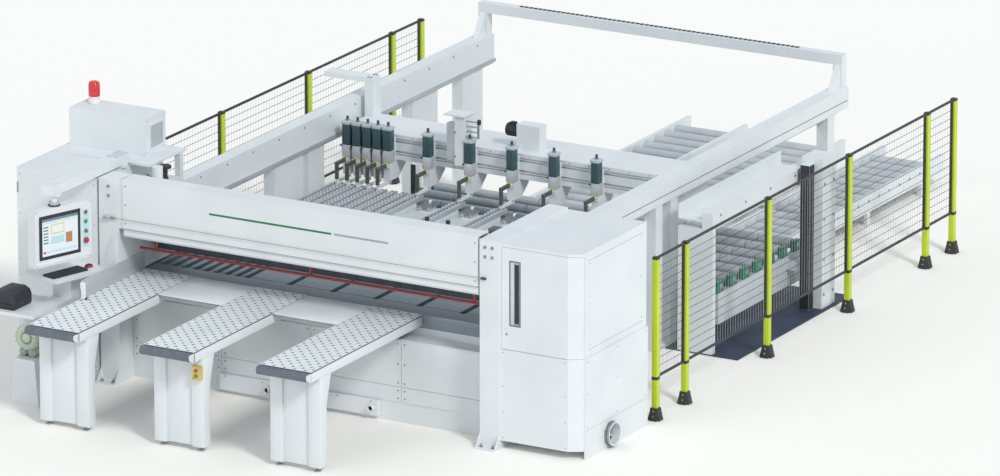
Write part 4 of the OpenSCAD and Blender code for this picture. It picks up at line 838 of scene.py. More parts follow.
consoleLook = {"turn": 69.5, "shift": 0.06, "width": 0.65, "depth": 0.11, "height": 0.55, "buttonDrop": 0.11,
               "buttonStep": 0.09, "buttonInset": 0.065, "screenWidth": 0.48, "screenHeight": 0.425,
               "screenInset": 0.045, "screenDrop": 0.06, "frame": 0.035, "hangerDrop": 0.12,
               "rings": (0.021, 0.021, 0.021, 0.03), "reach": 0.0043, "shaft": 0.0098}
consoleButtons = (("stop_button", "stop", "buttonRed", "red_plastic", 0, 0.015, 0.01),
                  ("start_button", "start", "buttonGreen", "green_plastic", 1, 0.015, 0.01),
                  ("emergency_stop", "estop", "buttonRed", "red_plastic", 3, 0.024, 0.022))
deskLook = {"place": (-2.194, -1.326, 0), "turn": -18, "boardDrop": 0.034, "keyRows": 5, "keysInRow": 18,
            "keyRowStep": 0.026, "keyStep": 0.0226}
blowerLook = {"radius": 0.13, "fins": 18, "motorRibs": 16, "silencers": 0.048}
beaconLook = {"ribs": 24, "baseRadius": 0.06, "domeRadius": 0.055}
cabinetLook = {"right": -2.18, "screwRows": (0.12, 0.6, 0.9, 1.05, 1.5, 1.88), "hinges": (0.25, 1.75),
               "slots": 12, "slotStep": 0.025, "louvres": 11, "louvreStep": 0.019}


def inConsole(parts, name, body, slotName, *stands):
    # Parts drawn round the console's pivot with the face towards -Y, turned and moved to its place
    joint = next(joint for joint in frame["joints"] if joint["name"] == "console_turn")
    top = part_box("console_housing")[1].z - consoleLook["hangerDrop"]
    pivot = Matrix.Translation((joint["pos_m"][0], joint["pos_m"][1], top))
    piece = joined(parts, name)
    piece.data.transform(pivot @ Matrix.Rotation(math.radians(consoleLook["turn"]), 4, "Z"))
    placed(piece, body, slotName, *stands)


def buildConsoleTrim(x0, x1, face, buttonX):
    # Back cover, lower strip, button field, corner screws, swivel rings and the buttons' rings
    bottom = -consoleLook["height"]
    parts = [block((x0 + 0.01, -face - 0.012, bottom + 0.03), (x1 - 0.01, -face, -0.03),
                   "powderCoatGrey", 0.006),
             block((x0 + 0.02, face - 0.0035, bottom + 0.02), (x1 - 0.02, face + 0.002, bottom + 0.045),
                   "laminateWhite", 0.002),
             block((buttonX - 0.038, face - 0.00025, -0.445), (buttonX + 0.038, face + 0.002, -0.085),
                   "inkAqua", 0)]
    parts += fixings(screw, (x0 + 0.015, x1 - 0.015), (face,), (-0.015, bottom + 0.015), toFront, 0.006)
    parts += [ring((0, 0, -0.001), toTop * 0.013, 0.058, 0.02, "darkSteel", 40, 0.002),
              ring((0, 0, 0.012), toTop * 0.028, 0.046, 0.008, "absGrey", 40, 0.002)]
    for i, radius in enumerate(consoleLook["rings"]):
        z = -consoleLook["buttonDrop"] - i * consoleLook["buttonStep"]
        parts.append(ring((buttonX, face - 0.004, z), toFront * -0.005, radius, 0.0045,
                          "zincSteel", 24, 0.001))
    inConsole(parts, "consoleTrim", "console", "white_paint")


def buildConsoleScreen(x0, face):
    # A dark bezel and a generic panel layout of flat inks, placed in shares of the glass
    width, height = consoleLook["screenWidth"], consoleLook["screenHeight"]
    left, top = x0 + consoleLook["screenInset"], -consoleLook["screenDrop"]
    front, rim = face - 0.004, consoleLook["frame"]
    screen = [block((left + 0.001, front, top - height + 0.001),
                    (left + width - 0.001, face + 0.018, top - 0.001), "absBlack", 0.006, 3)]

    def ink(a, b, c, d, tone, level=1):
        u0, w0, uSize, wSize = left + rim, top - height + rim, width - 2 * rim, height - 2 * rim
        screen.append(block((u0 + a * uSize, front - 0.0006 - 0.0003 * level, w0 + b * wSize),
                            (u0 + c * uSize, front + 0.001, w0 + d * wSize), tone, 0))

    ink(0, 0, 1, 1, "inkPale", 0)
    ink(0, 0.93, 1, 1, "inkSlate")
    for i in range(12):
        ink(0.02 + i * 0.081, 0.86, 0.075 + i * 0.081, 0.91, "inkAqua")
    for i in range(6):
        ink(0.03, 0.76 - i * 0.085, 0.17, 0.8 - i * 0.085, "inkGreen" if i == 3 else "inkSlate")
    ink(0.24, 0.56, 0.62, 0.83, "inkYellow")
    ink(0.27, 0.6, 0.59, 0.79, "inkPale", 2)
    ink(0.24, 0.3, 0.62, 0.5, "inkAqua")
    ink(0.66, 0.26, 0.84, 0.54, "inkBrown")
    for i in range(9):
        ink(0.03 + i * 0.107, 0.07, 0.1 + i * 0.107, 0.13, "inkRed" if i == 0 else "inkAqua")
    inConsole(screen, "consoleScreen", "console", "black_plastic", "console_screen")


def buildConsoleButtons(face, x):
    # Three domed caps on black shafts, and a key switch with its key
    reach, shaft = consoleLook["reach"], consoleLook["shaft"]
    for node, body, tone, slotName, i, radius, depth in consoleButtons:
        z = -consoleLook["buttonDrop"] - i * consoleLook["buttonStep"]
        cap = [rod((x, face - reach, z), toFront * depth * 0.7, radius, tone, 24, 0.0015),
               dome((x, face - reach - depth * 0.7, z), radius * 0.93, tone, (1, depth * 0.3 / radius, 1)),
               rod((x, face + 0.02, z), toFront * (0.02 + reach), shaft, "absBlack", 16)]
        inConsole(cap, body + "Cap", body, slotName, node)
    z = -consoleLook["buttonDrop"] - 2 * consoleLook["buttonStep"]
    key = [rod((x, face + 0.02, z), toFront * 0.03, shaft, "zincSteel", 24, 0.001),
           rod((x, face - reach, z), toFront * (0.01 - reach), 0.015, "zincSteel", 24, 0.001),
           block((x - 0.0012, face - 0.034, z - 0.013), (x + 0.0012, face - 0.01, z + 0.013),
                 "zincSteel", 0.001)]
    inConsole(key, "keySwitch", "key", "bright_steel", "key_switch")


def buildConsole():
    x0 = consoleLook["shift"] - consoleLook["width"] / 2
    x1 = x0 + consoleLook["width"]
    face = -consoleLook["depth"] / 2
    buildConsoleTrim(x0, x1, face, x1 - consoleLook["buttonInset"])
    buildConsoleScreen(x0, face)
    buildConsoleButtons(face, x1 - consoleLook["buttonInset"])


def buildArm():
    # Cover plate with its screws on the arm's bearing
    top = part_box("console_arm")[1].z
    parts = [block((-2.245, -0.36, top - 0.0015), (-2.125, -0.14, top + 0.003), "powderCoatGrey", 0.001)]
    parts += fixings(screw, (-2.225, -2.145), (-0.34, -0.16), (top + 0.003,), toTop, 0.007)
    built(parts, "armCover", "white_paint", body="arm")


def onDesk(parts, name, *stands):
    piece = joined(parts, name)
    turn = Matrix.Rotation(math.radians(deskLook["turn"]), 4, "Z")
    piece.data.transform(Matrix.Translation(deskLook["place"]) @ turn)
    placed(piece, "machine", "black_plastic", *stands)


def buildKeyboard():
    # A flat board with rows of low keys, and a mouse cut off level with the desk
    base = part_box("keyboard")[1].z - deskLook["boardDrop"]
    parts = [plate([(-0.23, 0.03), (-0.22, 0.02), (-0.08, 0.02), (-0.07, 0.03), (-0.07, 0.44), (-0.08, 0.45),
                    (-0.22, 0.45), (-0.23, 0.44)], "z", base, base + 0.014, "absBlack", 0.003)]
    for row in range(deskLook["keyRows"]):
        x = -0.215 + row * deskLook["keyRowStep"]
        keyCap = block((x, 0.032, base + 0.013), (x + 0.021, 0.049, base + 0.021), "absBlack", 0.002, 1)
        parts.append(repeated(keyCap, deskLook["keysInRow"], (0, deskLook["keyStep"], 0)))
    onDesk(parts, "keyboard", "keyboard")
    mouse = [dome((-0.155, 0.52, base + 0.004), 0.028, "absBlack", (1.2, 1.6, 1.0), 10, 20),
             dome((-0.128, 0.52, base + 0.006), 0.016, "buttonRed", (0.5, 1.9, 0.9), 8, 16)]
    for part in mouse:
        for vertex in part.data.vertices:
            vertex.co.z = max(vertex.co.z, base)
    onDesk(mouse, "mouse")


def buildPrinter():
    # Rounded housing with a paper slot painted as a dark strip of shade, a front flap and a seam
    low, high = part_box("label_printer")
    size = high - low
    middle = size.x / 2
    outline = [(0.01, 0), (size.x - 0.01, 0), (size.x, 0.02), (size.x, 0.1), (size.x - 0.02, 0.145),
               (middle + 0.07, size.z), (middle - 0.07, size.z), (0.02, 0.145), (0, 0.1), (0, 0.02)]
    parts = [plate(outline, "y", 0, size.y, "absBlack", 0.01),
             block((0.03, -0.001, 0.05), (size.x - 0.03, 0.004, 0.062), "blackAndSlotShade", 0.001),
             block((0.04, -0.0015, 0.012), (size.x - 0.04, 0.004, 0.04), "absBlack", 0.003),
             block((-0.001, 0.02, 0.085), (size.x + 0.001, size.y - 0.02, 0.089), "blackAndSlotShade", 0)]
    built(shifted(parts, low), "labelPrinter", "black_plastic", "label_printer")


def buildBlower():
    # Ring-shaped housing with cooling fins, its motor behind and two silencers below
    low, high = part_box("ring_blower")
    x, y, z, radius = (low.x + high.x) / 2, low.y, high.z - blowerLook["radius"], blowerLook["radius"]
    toBack, centre = -toFront, (x, y, z)
    parts = [rod((x, y + 0.03, z), toBack * 0.08, radius - 0.012, "blowerGreen", 40, 0.012)]
    clearSelection()
    bpy.ops.mesh.primitive_torus_add(major_radius=0.088, minor_radius=0.042, major_segments=40,
                                     minor_segments=14, location=(x, y + 0.045, z),
                                     rotation=(math.pi / 2, 0, 0))
    parts.append(finishPart(bpy.context.object, "blowerGreen"))
    fin = block((x + 0.05, y + 0.006, z - 0.003), (x + 0.127, y + 0.03, z + 0.003), "blowerGreen", 0.001, 1)
    rib = block((x + 0.06, y + 0.115, z - 0.002), (x + 0.07, y + 0.185, z + 0.002), "blowerGreen", 0)
    parts += around(fin, blowerLook["fins"], centre, "Y") + around(rib, blowerLook["motorRibs"], centre, "Y")
    parts += [rod((x, y + 0.002, z), toBack * 0.028, 0.045, "blowerGreen", 32, 0.006),
              rod((x, y + 0.11, z), toBack * 0.078, 0.068, "blowerGreen", 32, 0.008)]
    for shift in (-blowerLook["silencers"], blowerLook["silencers"]):
        parts += [rod((x + shift, y + 0.02, low.z + 0.045), toBack * 0.14, 0.042, "blowerGreen", 28, 0.01),
                  rod((x + shift, y + 0.012, low.z + 0.045), toBack * 0.018, 0.03, "enamelGrey", 24, 0.003)]
    parts.append(block((x - 0.088, y + 0.01, low.z), (x + 0.088, y + 0.165, low.z + 0.008),
                       "blowerGreen", 0.003))
    built(parts, "ringBlower", "blower_paint", "ring_blower")


def buildBeacon():
    # White base in two steps, a ribbed dome over it
    low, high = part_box("signal_beacon")
    x, y, base, radius = (low.x + high.x) / 2, (low.y + high.y) / 2, low.z, beaconLook["domeRadius"]
    foot = [rod((x, y, base), toTop * 0.045, beaconLook["baseRadius"], "nylonWhite", 40, 0.006, 0.056),
            rod((x, y, base + 0.045), toTop * 0.025, 0.052, "nylonWhite", 40, 0.004)]
    built(foot, "beaconBase", "beacon_red")
    cap = [rod((x, y, base + 0.068), toTop * (high.z - base - 0.09), radius, "domeRed", 48, 0.004, 0.052),
           dome((x, y, high.z - 0.024), 0.051, "domeRed", (1, 1, 0.38), 12, 40)]
    rib = block((x + 0.047, y - 0.0025, base + 0.075), (x + 0.0545, y + 0.0025, high.z - 0.04), "domeRed", 0)
    built(cap + around(rib, beaconLook["ribs"], (x, y, 0), "Z"), "beaconDome", "beacon_red",
          "signal_beacon")


def buildCooler():
    # Slanted louvres and four screws on the cooler's right side
    low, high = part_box("cabinet_cooler")
    face = high.x
    parts = []
    for i in range(cabinetLook["louvres"]):
        z = low.z + 0.085 + i * cabinetLook["louvreStep"]
        slat = [(face - 0.004, z), (face + 0.004, z - 0.006), (face + 0.004, z + 0.001),
                (face - 0.004, z + 0.008)]
        parts.append(plate(slat, "y", low.y + 0.07, high.y - 0.07, "enamelGrey", 0))
    parts += fixings(screw, (face - 0.012,), (low.y + 0.02, high.y - 0.02), (low.z + 0.03, high.z - 0.03),
                     toRight, 0.006)
    built(parts, "coolerLouvres", "white_paint")


def buildCabinetTrim():
    # Seams, lock, screws, hinges and side slots of the control cabinet
    x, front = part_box("control_cabinet")[0].xy
    parts = [block((x + 0.42, front - 0.0012, 0.1), (x + 0.424, front + 0.001, 1.88), "enamelGrey", 0),
             block((x + 0.02, front - 0.0012, 0.08), (-2.16, front + 0.001, 0.084), "enamelGrey", 0),
             block((x + 0.45, front - 0.008, 1.18), (x + 0.475, front + 0.001, 1.32), "absBlack", 0.004)]
    parts += fixings(screw, (x + 0.03, cabinetLook["right"]), (front,), cabinetLook["screwRows"], toFront,
                     0.006, "enamelGrey")
    parts += [rod((x + 0.008, front - 0.006, z - 0.05), toTop * 0.1, 0.006, "zincSteel", 12, 0.001)
              for z in cabinetLook["hinges"]]
    # The side slots are grey marks of painted shade
    for i in range(cabinetLook["slots"]):
        z = 0.2 + i * cabinetLook["slotStep"]
        parts.append(block((x - 0.002, -0.45, z), (x + 0.002, -0.15, z + 0.011), "enamelGrey", 0.001, 1))
    built(parts, "cabinetTrim", "white_paint")


buildConsole()
buildArm()
buildKeyboard()
buildPrinter()
buildBlower()
buildBeacon()
buildCooler()
buildCabinetTrim()
print("operator's end built")

# Right end

endLook = {"front": -0.66, "lowerSide": 2.961, "upperSide": 2.943, "seam": 0.951,
           "port": (2.962, -0.13, 0.134), "portScrews": 8, "portScrewCircle": 0.121}
handleLook = {"screws": (1.3, 1.49, 1.68), "lock": (2.19, 1.1)}


def buildRightCabinet():
    # Seams and screws of the front and the side, in its lower and upper part
    front, lower, upper = endLook["front"], endLook["lowerSide"], endLook["upperSide"]
    parts = [block((2.15, front - 0.0012, endLook["seam"]), (2.8, front + 0.001, endLook["seam"] + 0.004),
                   "enamelGrey", 0),
             block((lower - 0.001, -0.56, 0.27), (lower + 0.0008, 0.585, 0.273), "enamelGrey", 0)]
    for z in (1.02, 1.86):
        parts.append(block((upper - 0.0005, -0.5, z), (upper + 0.0015, 0.53, z + 0.003), "enamelGrey", 0))
    parts += fixings(screw, (2.15, 2.795), (front,), (0.11, 0.35, 0.6, 0.92), toFront, 0.006, "enamelGrey")
    parts += fixings(screw, (lower,), (-0.54, 0.02, 0.56), (0.3, 0.62, 0.92), toRight, 0.007, "enamelGrey")
    parts += fixings(screw, (upper,), (-0.47, 0.5), (1.06, 1.45, 1.83), toRight, 0.007, "enamelGrey")
    built(parts, "rightCabinetTrim", "white_paint")


def buildDustCollar():
    # Sleeve, flange with its screws and clamping band of the dust port
    x, y, z = endLook["port"]
    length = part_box("right_cabinet")[1].x - 0.001 - x
    collar = [ring((x, y, z), toRight * length, 0.1125, 0.009, "zincSteel", 48, 0.002),
              ring((x, y, z), toRight * 0.006, 0.128, 0.025, "powderCoatWhite", 48, 0.001),
              ring((x + 0.023, y, z), toRight * 0.008, 0.1145, 0.008, "darkSteel", 48, 0.001)]
    for i in range(endLook["portScrews"]):
        angle = 2 * math.pi * (i + 0.5) / endLook["portScrews"]
        shift = Vector((0.006, math.cos(angle) * endLook["portScrewCircle"],
                        math.sin(angle) * endLook["portScrewCircle"]))
        collar += screw(Vector(endLook["port"]) + shift, toRight, 0.005)
    built(collar, "dustCollar", "bright_steel")


def buildDoorTrim():
    # Long recessed handle with its bar and a lock below
    front = endLook["front"]
    # The handle's recess is a grey block of painted shade
    parts = [block((2.225, front - 0.001, 1.19), (2.321, front + 0.012, 1.79), "enamelGrey", 0.004),
             block((2.231, front - 0.002, 1.197), (2.262, front + 0.002, 1.783), "powderCoatGrey", 0.002),
             block((2.272, front - 0.004, 1.21), (2.318, front + 0.004, 1.77), "absBlack", 0.01, 4)]
    parts += fixings(screw, (2.246,), (front - 0.002,), handleLook["screws"], toFront, 0.004)
    # The lock's key slot is a dark strip of painted shade
    x, z = handleLook["lock"]
    parts += [rod((x, front + 0.002, z), toFront * 0.006, 0.011, "zincSteel", 20, 0.001),
              block((x - 0.0015, front - 0.0045, z - 0.006), (x + 0.0015, front - 0.003, z + 0.006),
                    "blackAndSlotShade", 0)]
    built(parts, "doorHandle", "white_paint", body="door")


buildRightCabinet()
buildDustCollar()
buildDoorTrim()
print("right end built")

# Rear: bed, clamps, pusher and beams

rearLook = {"nearX": -1.826, "nearStep": 0.113, "wideX": -0.935, "wideStep": 0.46, "between": -0.705}
trackLook = {"near": 8, "wide": 6, "start": 0.43, "end": 3.2, "half": 0.049, "rollerPitch": 0.06,
             "rollerRadius": 0.018, "barTop": 0.985}
stopLook = {"floor": 0.9005, "start": 2.88, "end": 3.05, "slats": 5}
clampLook = {"near": 5, "wide": 5, "y": 3.37, "half": 0.048}
driveLook = {"axis": (0, 3.645, 1.62), "fins": 14, "radius": 0.0605}
railLook = {"left": -1.9, "right": 1.74, "face": 3.455, "strips": (1.25, 1.4), "screws": 17,
            "screwStep": 0.215}
sideLook = {"boltX": (-1.9795, 1.8195), "bolts": 12, "boltStep": 0.48, "bumperX": (-2.04, 1.88),
            "chainLinks": 60, "linkStep": 0.052}


def coatRear():
    coat("powderCoatWhite", "clamp_arms", "aligner", "infeed_frames")
    coat("jawBronze", "clamp_jaws")
    coat("drawnAluminium", "aligner_head", "infeed_rollers")
    coat("powderCoatGrey", "lift_platform")
    coat("rollerSteel", "lift_rollers")


def rearPlaces(near, wide):
    # Places along the saw line: close together at the left, then wide apart
    return ([rearLook["nearX"] + rearLook["nearStep"] * i for i in range(near)]
            + [rearLook["wideX"] + rearLook["wideStep"] * i for i in range(wide)])


def buildRollerTracks():
    # Two light rails with a row of small rollers each; the jaws' tongues run in the gap between them
    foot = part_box("roller_tracks")[0].z
    start, end, half, radius = [trackLook[name] for name in ("start", "end", "half", "rollerRadius")]
    axle = trackLook["barTop"] - radius
    count = int((end - start - 0.05) / trackLook["rollerPitch"])
    rails = [block((-0.0475, start, foot), (0.0475, end, foot + 0.008), "slateGreyAndShade", 0)]
    for a, b in ((-half, -0.0235), (0.0235, half)):
        rails.append(block((a, start, foot), (b, end, axle + 0.006), "rollerSteel", 0.002, 1))
        roller = rod((a + 0.002, start + 0.03, axle), toRight * (b - a - 0.004), radius, "absGrey", 10)
        rails.append(repeated(roller, count, (0, trackLook["rollerPitch"], 0)))
    shifts = [(x, 0, 0) for x in rearPlaces(trackLook["near"], trackLook["wide"])]
    buildCopies(rails, "track", 2, shifts, "roller_steel", "roller_tracks")


def buildBedCovers():
    # Grey sheet between the wide tracks, with two bolts at the front of each
    covers = []
    for i in range(5):
        middle = rearLook["between"] + rearLook["wideStep"] * i
        covers += fixings(bolt, (middle - 0.1, middle + 0.1), (0.6,), (0.9,), toTop, 0.008)
        covers.append(block((middle - 0.139, 0.431, 0.8995), (middle + 0.139, 3.059, 0.9008),
                            "powderCoatGrey", 0))
    built(covers, "bedCovers", "white_paint")


def buildBedStops():
    # Short stops with a small wheel at the rear end of the bed, one between each pair of wide tracks
    floor, start, end = stopLook["floor"], stopLook["start"], stopLook["end"]
    parts = [block((-0.065, start, floor), (0.065, end, floor + 0.012), "nylonWhite", 0.002)]
    for x in (-0.045, 0.045):
        parts.append(block((x - 0.006, start + 0.01, floor + 0.01), (x + 0.006, end - 0.01, floor + 0.055),
                           "absGrey", 0.002))
    for i in range(stopLook["slats"]):
        y = start + 0.025 + i * 0.03
        parts.append(block((-0.075, y - 0.008, floor + 0.054), (0.075, y + 0.008, floor + 0.064),
                           "zincSteel", 0.002, 1))
    parts += [rod((-0.012, end - 0.035, floor + 0.078), toRight * 0.024, 0.021, "nylonWhite", 28, 0.003),
              block((0.013, end - 0.045, floor + 0.055), (0.018, end - 0.025, floor + 0.088),
                    "zincSteel", 0.001)]
    shifts = [(rearLook["between"] + rearLook["wideStep"] * i, 0, 0) for i in range(5)]
    buildCopies(parts, "bedStop", 1, shifts, "grey_plastic")


def buildClamps():
    # Cylinder with its tie-rod block, barrel, cap and fittings, one unit copied to each arm
    y, half = clampLook["y"], clampLook["half"]
    side, face = half - 0.006, y - half
    unit = [block((-half + 0.004, face + 0.004, 1.19), (half - 0.004, y + half + 0.004, 1.308),
                  "drawnAluminium", 0.005),
            block((-side, face + 0.006, 1.308), (side, y + half - 0.006, 1.512), "anodisedTeal", 0.009, 3),
            block((-half, face, 1.512), (half, y + half, 1.545), "drawnAluminium", 0.006, 3),
            rod((0, y, 1.545), toTop * 0.015, 0.02, "zincSteel", 6, 0.002),
            rod((0, y, 1.56), toTop * 0.03, 0.013, "darkSteel", 16, 0.003),
            rod((-side, y - 0.02, 1.262), toRight * -0.012, 0.01, "absBlack", 12, 0.001),
            rod((-half + 0.002, face + 0.01, 1.3), toFront * 0.016, 0.009, "absBlack", 12, 0.001)]
    for x in (-0.022, 0, 0.022):
        unit.append(block((x - 0.003, face + 0.0045, 1.32), (x + 0.003, face + 0.0085, 1.5), "darkSteel", 0))
    places = rearPlaces(clampLook["near"], clampLook["wide"])
    buildCopies(unit, "clampCylinder", 2, [(x, 0, 0) for x in places], "teal_anodised",
                "clamp_cylinders", body="pusher")
    tips = fixings(screw, places, (3.175,), (1.18,), toTop, 0.006)
    tips += [block((x - 0.02, 3.318, 1.1815), (x + 0.02, 3.337, 1.19), "stopYellow", 0.001) for x in places]
    built(tips, "clampTips", "bright_steel", body="pusher")


def buildPusherDrive():
    # Ribbed motor with its terminal box and flange on the pusher, bolts on the truck
    x, y, z = driveLook["axis"]
    radius = driveLook["radius"]
    fin = block((-0.205, y + radius - 0.0045, z - 0.002), (-0.095, y + radius + 0.005, z + 0.002),
                "absBlack", 0)
    drive = fixings(bolt, (-1.89, -1.858), (3.88, 3.99), (1.84,), toTop, 0.009)
    drive += around(fin, driveLook["fins"], (x, y, z), "X")
    drive += [block((-0.081, 3.574, 1.58), (-0.07, 3.716, 1.66), "powderCoatGrey", 0.003),
              rod((-0.213, y, z), toRight * 0.132, radius, "absBlack", 28, 0.004),
              block((-0.18, 3.62, 1.678), (-0.12, 3.67, 1.698), "absBlack", 0.004)]
    built(drive, "pusherDrive", "white_paint", body="pusher")


def buildPusherRails():
    # Two dark strips and a row of screws along the pusher's front
    face = railLook["face"]
    rail = [block((railLook["left"], face - 0.0015, z), (railLook["right"], face + 0.0015, z + 0.012),
                  "enamelGrey", 0) for z in railLook["strips"]]
    places = [railLook["left"] + 0.1 + i * railLook["screwStep"] for i in range(railLook["screws"])]
    rail += fixings(screw, places, (face,), (1.43,), toFront, 0.007)
    built(rail, "pusherFrontRails", "white_paint", body="pusher")


def buildAlignerParts():
    # Two green lamps on the aligner, and beside it a small rack of rods with its strip and cap
    parts = [rod((-0.622, 3.346, z), toFront * 0.005, 0.009, "buttonGreen", 16, 0.001) for z in (1.36, 1.6)]
    parts += [rod((-0.53, 3.4, 1.56 + i * 0.05), toRight * 0.13, 0.006, "zincSteel", 12, 0.001)
              for i in range(4)]
    parts += [block((-0.405, 3.385, 1.69), (-0.375, 3.415, 1.74), "absBlack", 0.004),
              block((-0.405, 3.39, 1.55), (-0.39, 3.41, 1.72), "zincSteel", 0.002),
              rod((-0.625, 3.4, 1.27), toTop * 0.47, 0.005, "zincSteel", 12, 0.001)]
    built(parts, "alignerParts", "bare_aluminium", body="pusher")


def buildBeamDetails():
    # Bolts, seams and yellow bumpers of the side beams, cable chain on the rear gantry
    bolts = []
    for x, toward in zip(sideLook["boltX"], (toRight, -toRight)):
        places = [0.9 + i * sideLook["boltStep"] for i in range(sideLook["bolts"])]
        bolts += fixings(bolt, (x,), places, (1.585,), toward, 0.007)
    built(bolts, "beamBolts", "bright_steel")
    seams = [block((corner.x - 0.0012, 0.75, 1.492), (corner.x + 0.0012, 6.5, 1.499), "slateGreyAndShade", 0)
             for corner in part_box("side_beams")]
    built(seams, "beamSeams", "white_paint")
    caps = [rod((x, 6.52, 1.46), -toFront * 0.061, 0.0265, "stopYellow", 24, 0.004)
            for x in sideLook["bumperX"]]
    built(caps, "beamBumpers", "fence_paint")
    links = []
    for i in range(sideLook["chainLinks"]):
        x = -1.66 + i * sideLook["linkStep"]
        links.append(block((x, 6.46, 1.9595), (x + 0.035, 6.5, 1.9645), "absBlack", 0))
    built(links, "gantryChain", "black_plastic")


def buildBedBolts():
    bolts = fixings(bolt, (-1.75, -0.9, 0.0, 0.9, 1.55), (0.505, 1.805, 2.835), (0.72,), toFront, 0.009)
    built(bolts, "bedBolts", "bright_steel")


coatRear()
buildRollerTracks()
buildBedCovers()
buildBedStops()
buildClamps()
buildPusherDrive()
buildPusherRails()
buildAlignerParts()
buildBeamDetails()
buildBedBolts()
print("rear built")

# Lift table and infeed

liftLook = {"rollerY": [3.15 + 0.26 * i for i in range(7)], "rollerZ": 0.562, "seat": 0.5005,
            "ringX": (-1.25, -0.45, 0.35, 1.15, 1.95)}
deckLook = {"left": -1.7405, "step": 1.99, "right": 2.7605, "front": 2.7395, "stepY": 3.0635, "back": 5.0755,
            "top": 0.0148, "skin": 0.002}
infeedLook = {"left": -1.08, "width": 0.69, "pitch": 1.105, "rollers": 17, "firstRoller": 5.052,
              "rollerStep": 0.222, "axleZ": 0.25, "feet": (6.07, 7.25, 8.43)}


def buildLift():
    # Bearing blocks with their caps at both ends of each roller
    seat, z = liftLook["seat"], liftLook["rollerZ"]
    parts = []
    for a, b, outer, outward in ((-1.6735, -1.6265, -1.6765, -1), (2.3165, 2.3635, 2.3665, 1)):
        middle = (a + b) / 2
        for y in liftLook["rollerY"]:
            half = [(0.066, seat), (0.066, 0.512), (0.0565, 0.517), (0.0565, 0.6035)]
            outline = [(y + u, w) for u, w in half] + [(y - u, w) for u, w in reversed(half)]
            tip = outer + 0.001 * outward
            parts += [plate(outline, "x", a, b, "bearingGreen", 0.001),
                      rod((outer, y, z), toRight * (middle - outer), 0.036, "bearingGreen", 28, 0.004),
                      rod((tip, y, z), toRight * (middle - tip), 0.018, "zincSteel", 20)]
            parts += fixings(screw, (middle,), (y - 0.061, y + 0.061), (0.512,), toTop, 0.005)
    built(parts, "bearingCovers", "green_plastic", body="lift")
    bars = [block((-1.6, y + 0.105, 0.4995), (2.29, y + 0.155, 0.5035), "crossTeal", 0.001)
            for y in liftLook["rollerY"][:-1]]
    built(bars, "liftCrossCovers", "white_paint", body="lift")
    rings = [ring((x, y, z), toRight * 0.012, 0.0504, 0.003, "darkSteel", 20, 0)
             for y in liftLook["rollerY"] for x in liftLook["ringX"]]
    built(rings, "liftRollerRings", "roller_steel", body="lift")


def buildLiftFrame():
    # Bolts of the posts, the deck's blue skin in two rectangles with three edges, black guides
    bolts = fixings(bolt, (2.72,), (4.57, 4.76), (0.15, 0.5, 0.9, 1.25), toRight, 0.01)
    bolts += fixings(bolt, (2.49,), (2.9, 3.4, 3.9, 4.4), (1.345,), toRight, 0.009)
    built(bolts, "liftFrameBolts", "bright_steel")
    left, step, right, front, stepY, back, top, skin = deckLook.values()
    inset = 0.0015
    under, edge = top - 0.0018, top - 0.0008
    # The deck's dark navy is partly painted shade of the lift above
    deck = [block((left + inset, stepY + inset, under), (step, back - inset, top), "navyDeckAndShade", 0),
            block((step, front + inset, under), (right - inset, back - inset, top), "navyDeckAndShade", 0),
            block((left, stepY, 0.0005), (right, stepY + skin, edge), "navyDeckAndShade", 0),
            block((right - skin, front, 0.0005), (right, back, edge), "navyDeckAndShade", 0),
            block((step, front, 0.0005), (right, front + skin, edge), "navyDeckAndShade", 0)]
    built(deck, "deckCovers", "grey_paint")
    guides = [block((2.5295, 4.4295, 0.0145), (2.6305, 4.5295, 1.449), "absBlack", 0.002, 1),
              block((-1.7405, 4.4295, 0.0145), (-1.6815, 4.5305, 0.849), "absBlack", 0.002, 1)]
    built(guides, "liftGuides", "black_plastic")


def buildInfeed():
    # Axle heads on the rails, bolts on the feet and a grey sheet under the rollers, painted shade in the
    # gaps between them
    x0, x1, z = infeedLook["left"], infeedLook["left"] + infeedLook["width"], infeedLook["axleZ"]
    parts = []
    for i in range(infeedLook["rollers"]):
        y = infeedLook["firstRoller"] + infeedLook["rollerStep"] * i
        for x, inward in ((x0, toRight), (x1, -toRight)):
            start = Vector((x, y, z)) + inward * 0.002
            parts.append(rod(start, inward * -0.008, 0.013, "zincSteel", 6, 0.001))
    feet = [y + 0.068 for y in infeedLook["feet"]]
    parts += fixings(bolt, (x0 + 0.02, x1 - 0.02), feet, (0.012,), toTop, 0.005)
    # Grey sheet under the rollers: painted shade between them
    parts.append(block((x0 + 0.041, 4.86, 0.19), (x1 - 0.041, 8.9, 0.196), "powderCoatGrey", 0))
    shifts = [(i * infeedLook["pitch"], 0, 0) for i in range(3)]
    buildCopies(parts, "infeedHeads", 1, shifts, "bright_steel")


buildLift()
buildLiftFrame()
buildInfeed()
print("lift and infeed built")

# Safety fence

fenceLook = {"left": -3.011, "right": 2.945, "posts": (0.783, 1.352, 2.986, 4.635, 6.28, 6.856),
             "half": 0.028, "top": 1.564, "panelLow": 0.4, "wires": 14, "wirePitch": 0.05,
             "frame": 0.01, "gap": 0.004}


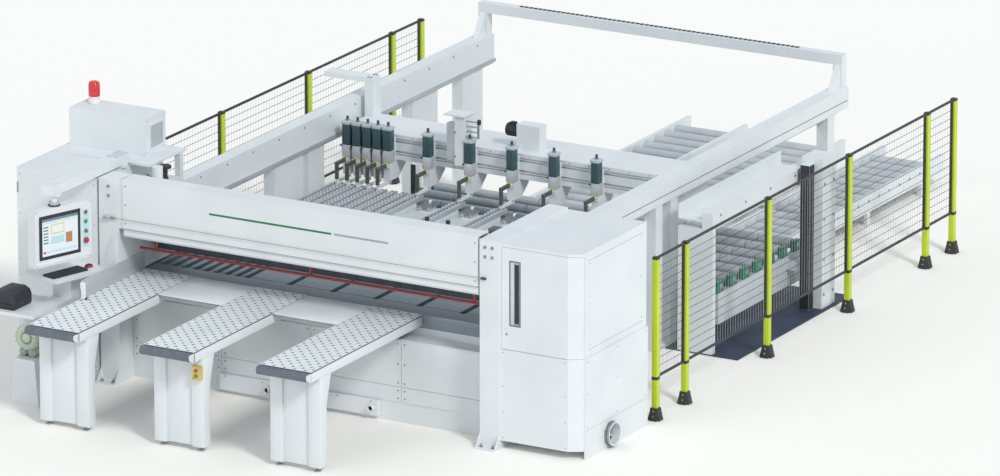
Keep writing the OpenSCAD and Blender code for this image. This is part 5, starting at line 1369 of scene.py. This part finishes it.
def fencePost(x, y):
    # A green square post with its black cap, clamp and flared foot
    top, low = fenceLook["top"], fenceLook["panelLow"]
    parts = []
    for extra, bottom, end, tone, edge, rounds in ((0, 0.02, top - 0.02, "fenceGreen", 0.004, 2),
                                                   (0.001, top - 0.028, top, "fenceBlack", 0.006, 2),
                                                   (0.002, low - 0.012, low + 0.02, "fenceBlack", 0.003, 1)):
        half = fenceLook["half"] + extra
        parts.append(block((x - half, y - half, bottom), (x + half, y + half, end), tone, edge, rounds))
    foot = [(-0.064, 0.001), (0.064, 0.001), (0.06, 0.014), (0.034, 0.118), (-0.034, 0.118), (-0.06, 0.014)]
    for axis, across, along in (("y", x, y), ("x", y, x)):
        outline = [(across + u, w) for u, w in foot]
        parts.append(plate(outline, axis, along - 0.04, along + 0.04, "fenceBlack", 0.004))
    for z in (0.045, 0.09):
        parts += screw((x, y - 0.065 + 0.28 * (z - 0.014), z), toFront, 0.007, "fenceGreen")
    return parts


def fencePanel(x, start, end):
    # A dark frame, level wires at even steps and fine pale upright wires
    low, high, half = fenceLook["panelLow"], fenceLook["top"] - fenceLook["gap"], fenceLook["frame"]
    parts = [block((x - half, a, c), (x + half, b, d), "fenceBlack", 0.002, 1)
             for a, b, c, d in ((start, start + 0.024, low, high), (end - 0.024, end, low, high),
                                (start + 0.02, end - 0.02, low, low + 0.022),
                                (start + 0.02, end - 0.02, high - 0.022, high))]
    count = max(int((end - start - 0.06) / fenceLook["wirePitch"]), 2)
    upright = rod((x, start + 0.05, low + 0.01), toTop * (high - low - 0.02), 0.0015, "absGrey", 4)
    parts.append(repeated(upright, count, (0, (end - start - 0.1) / (count - 1), 0)))
    rise = (high - low - 0.05) / fenceLook["wires"]
    level = rod((x + 0.003, start + 0.01, low + 0.025 + rise), -toFront * (end - start - 0.02), 0.0026,
                "fenceBlack", 6)
    parts.append(repeated(level, fenceLook["wires"] - 1, (0, 0, rise)))
    return parts


def buildFence():
    posts, gap = fenceLook["posts"], fenceLook["half"] + fenceLook["gap"]
    for side, x, stands in (("Left", fenceLook["left"], ("safety_fence",)),
                            ("Right", fenceLook["right"], ())):
        parts = [part for y in posts for part in fencePost(x, y)]
        parts += [part for a, b in zip(posts, posts[1:]) for part in fencePanel(x, a + gap, b - gap)]
        built(parts, f"fence{side}", "fence_paint", *stands)


buildFence()
print("fence built")
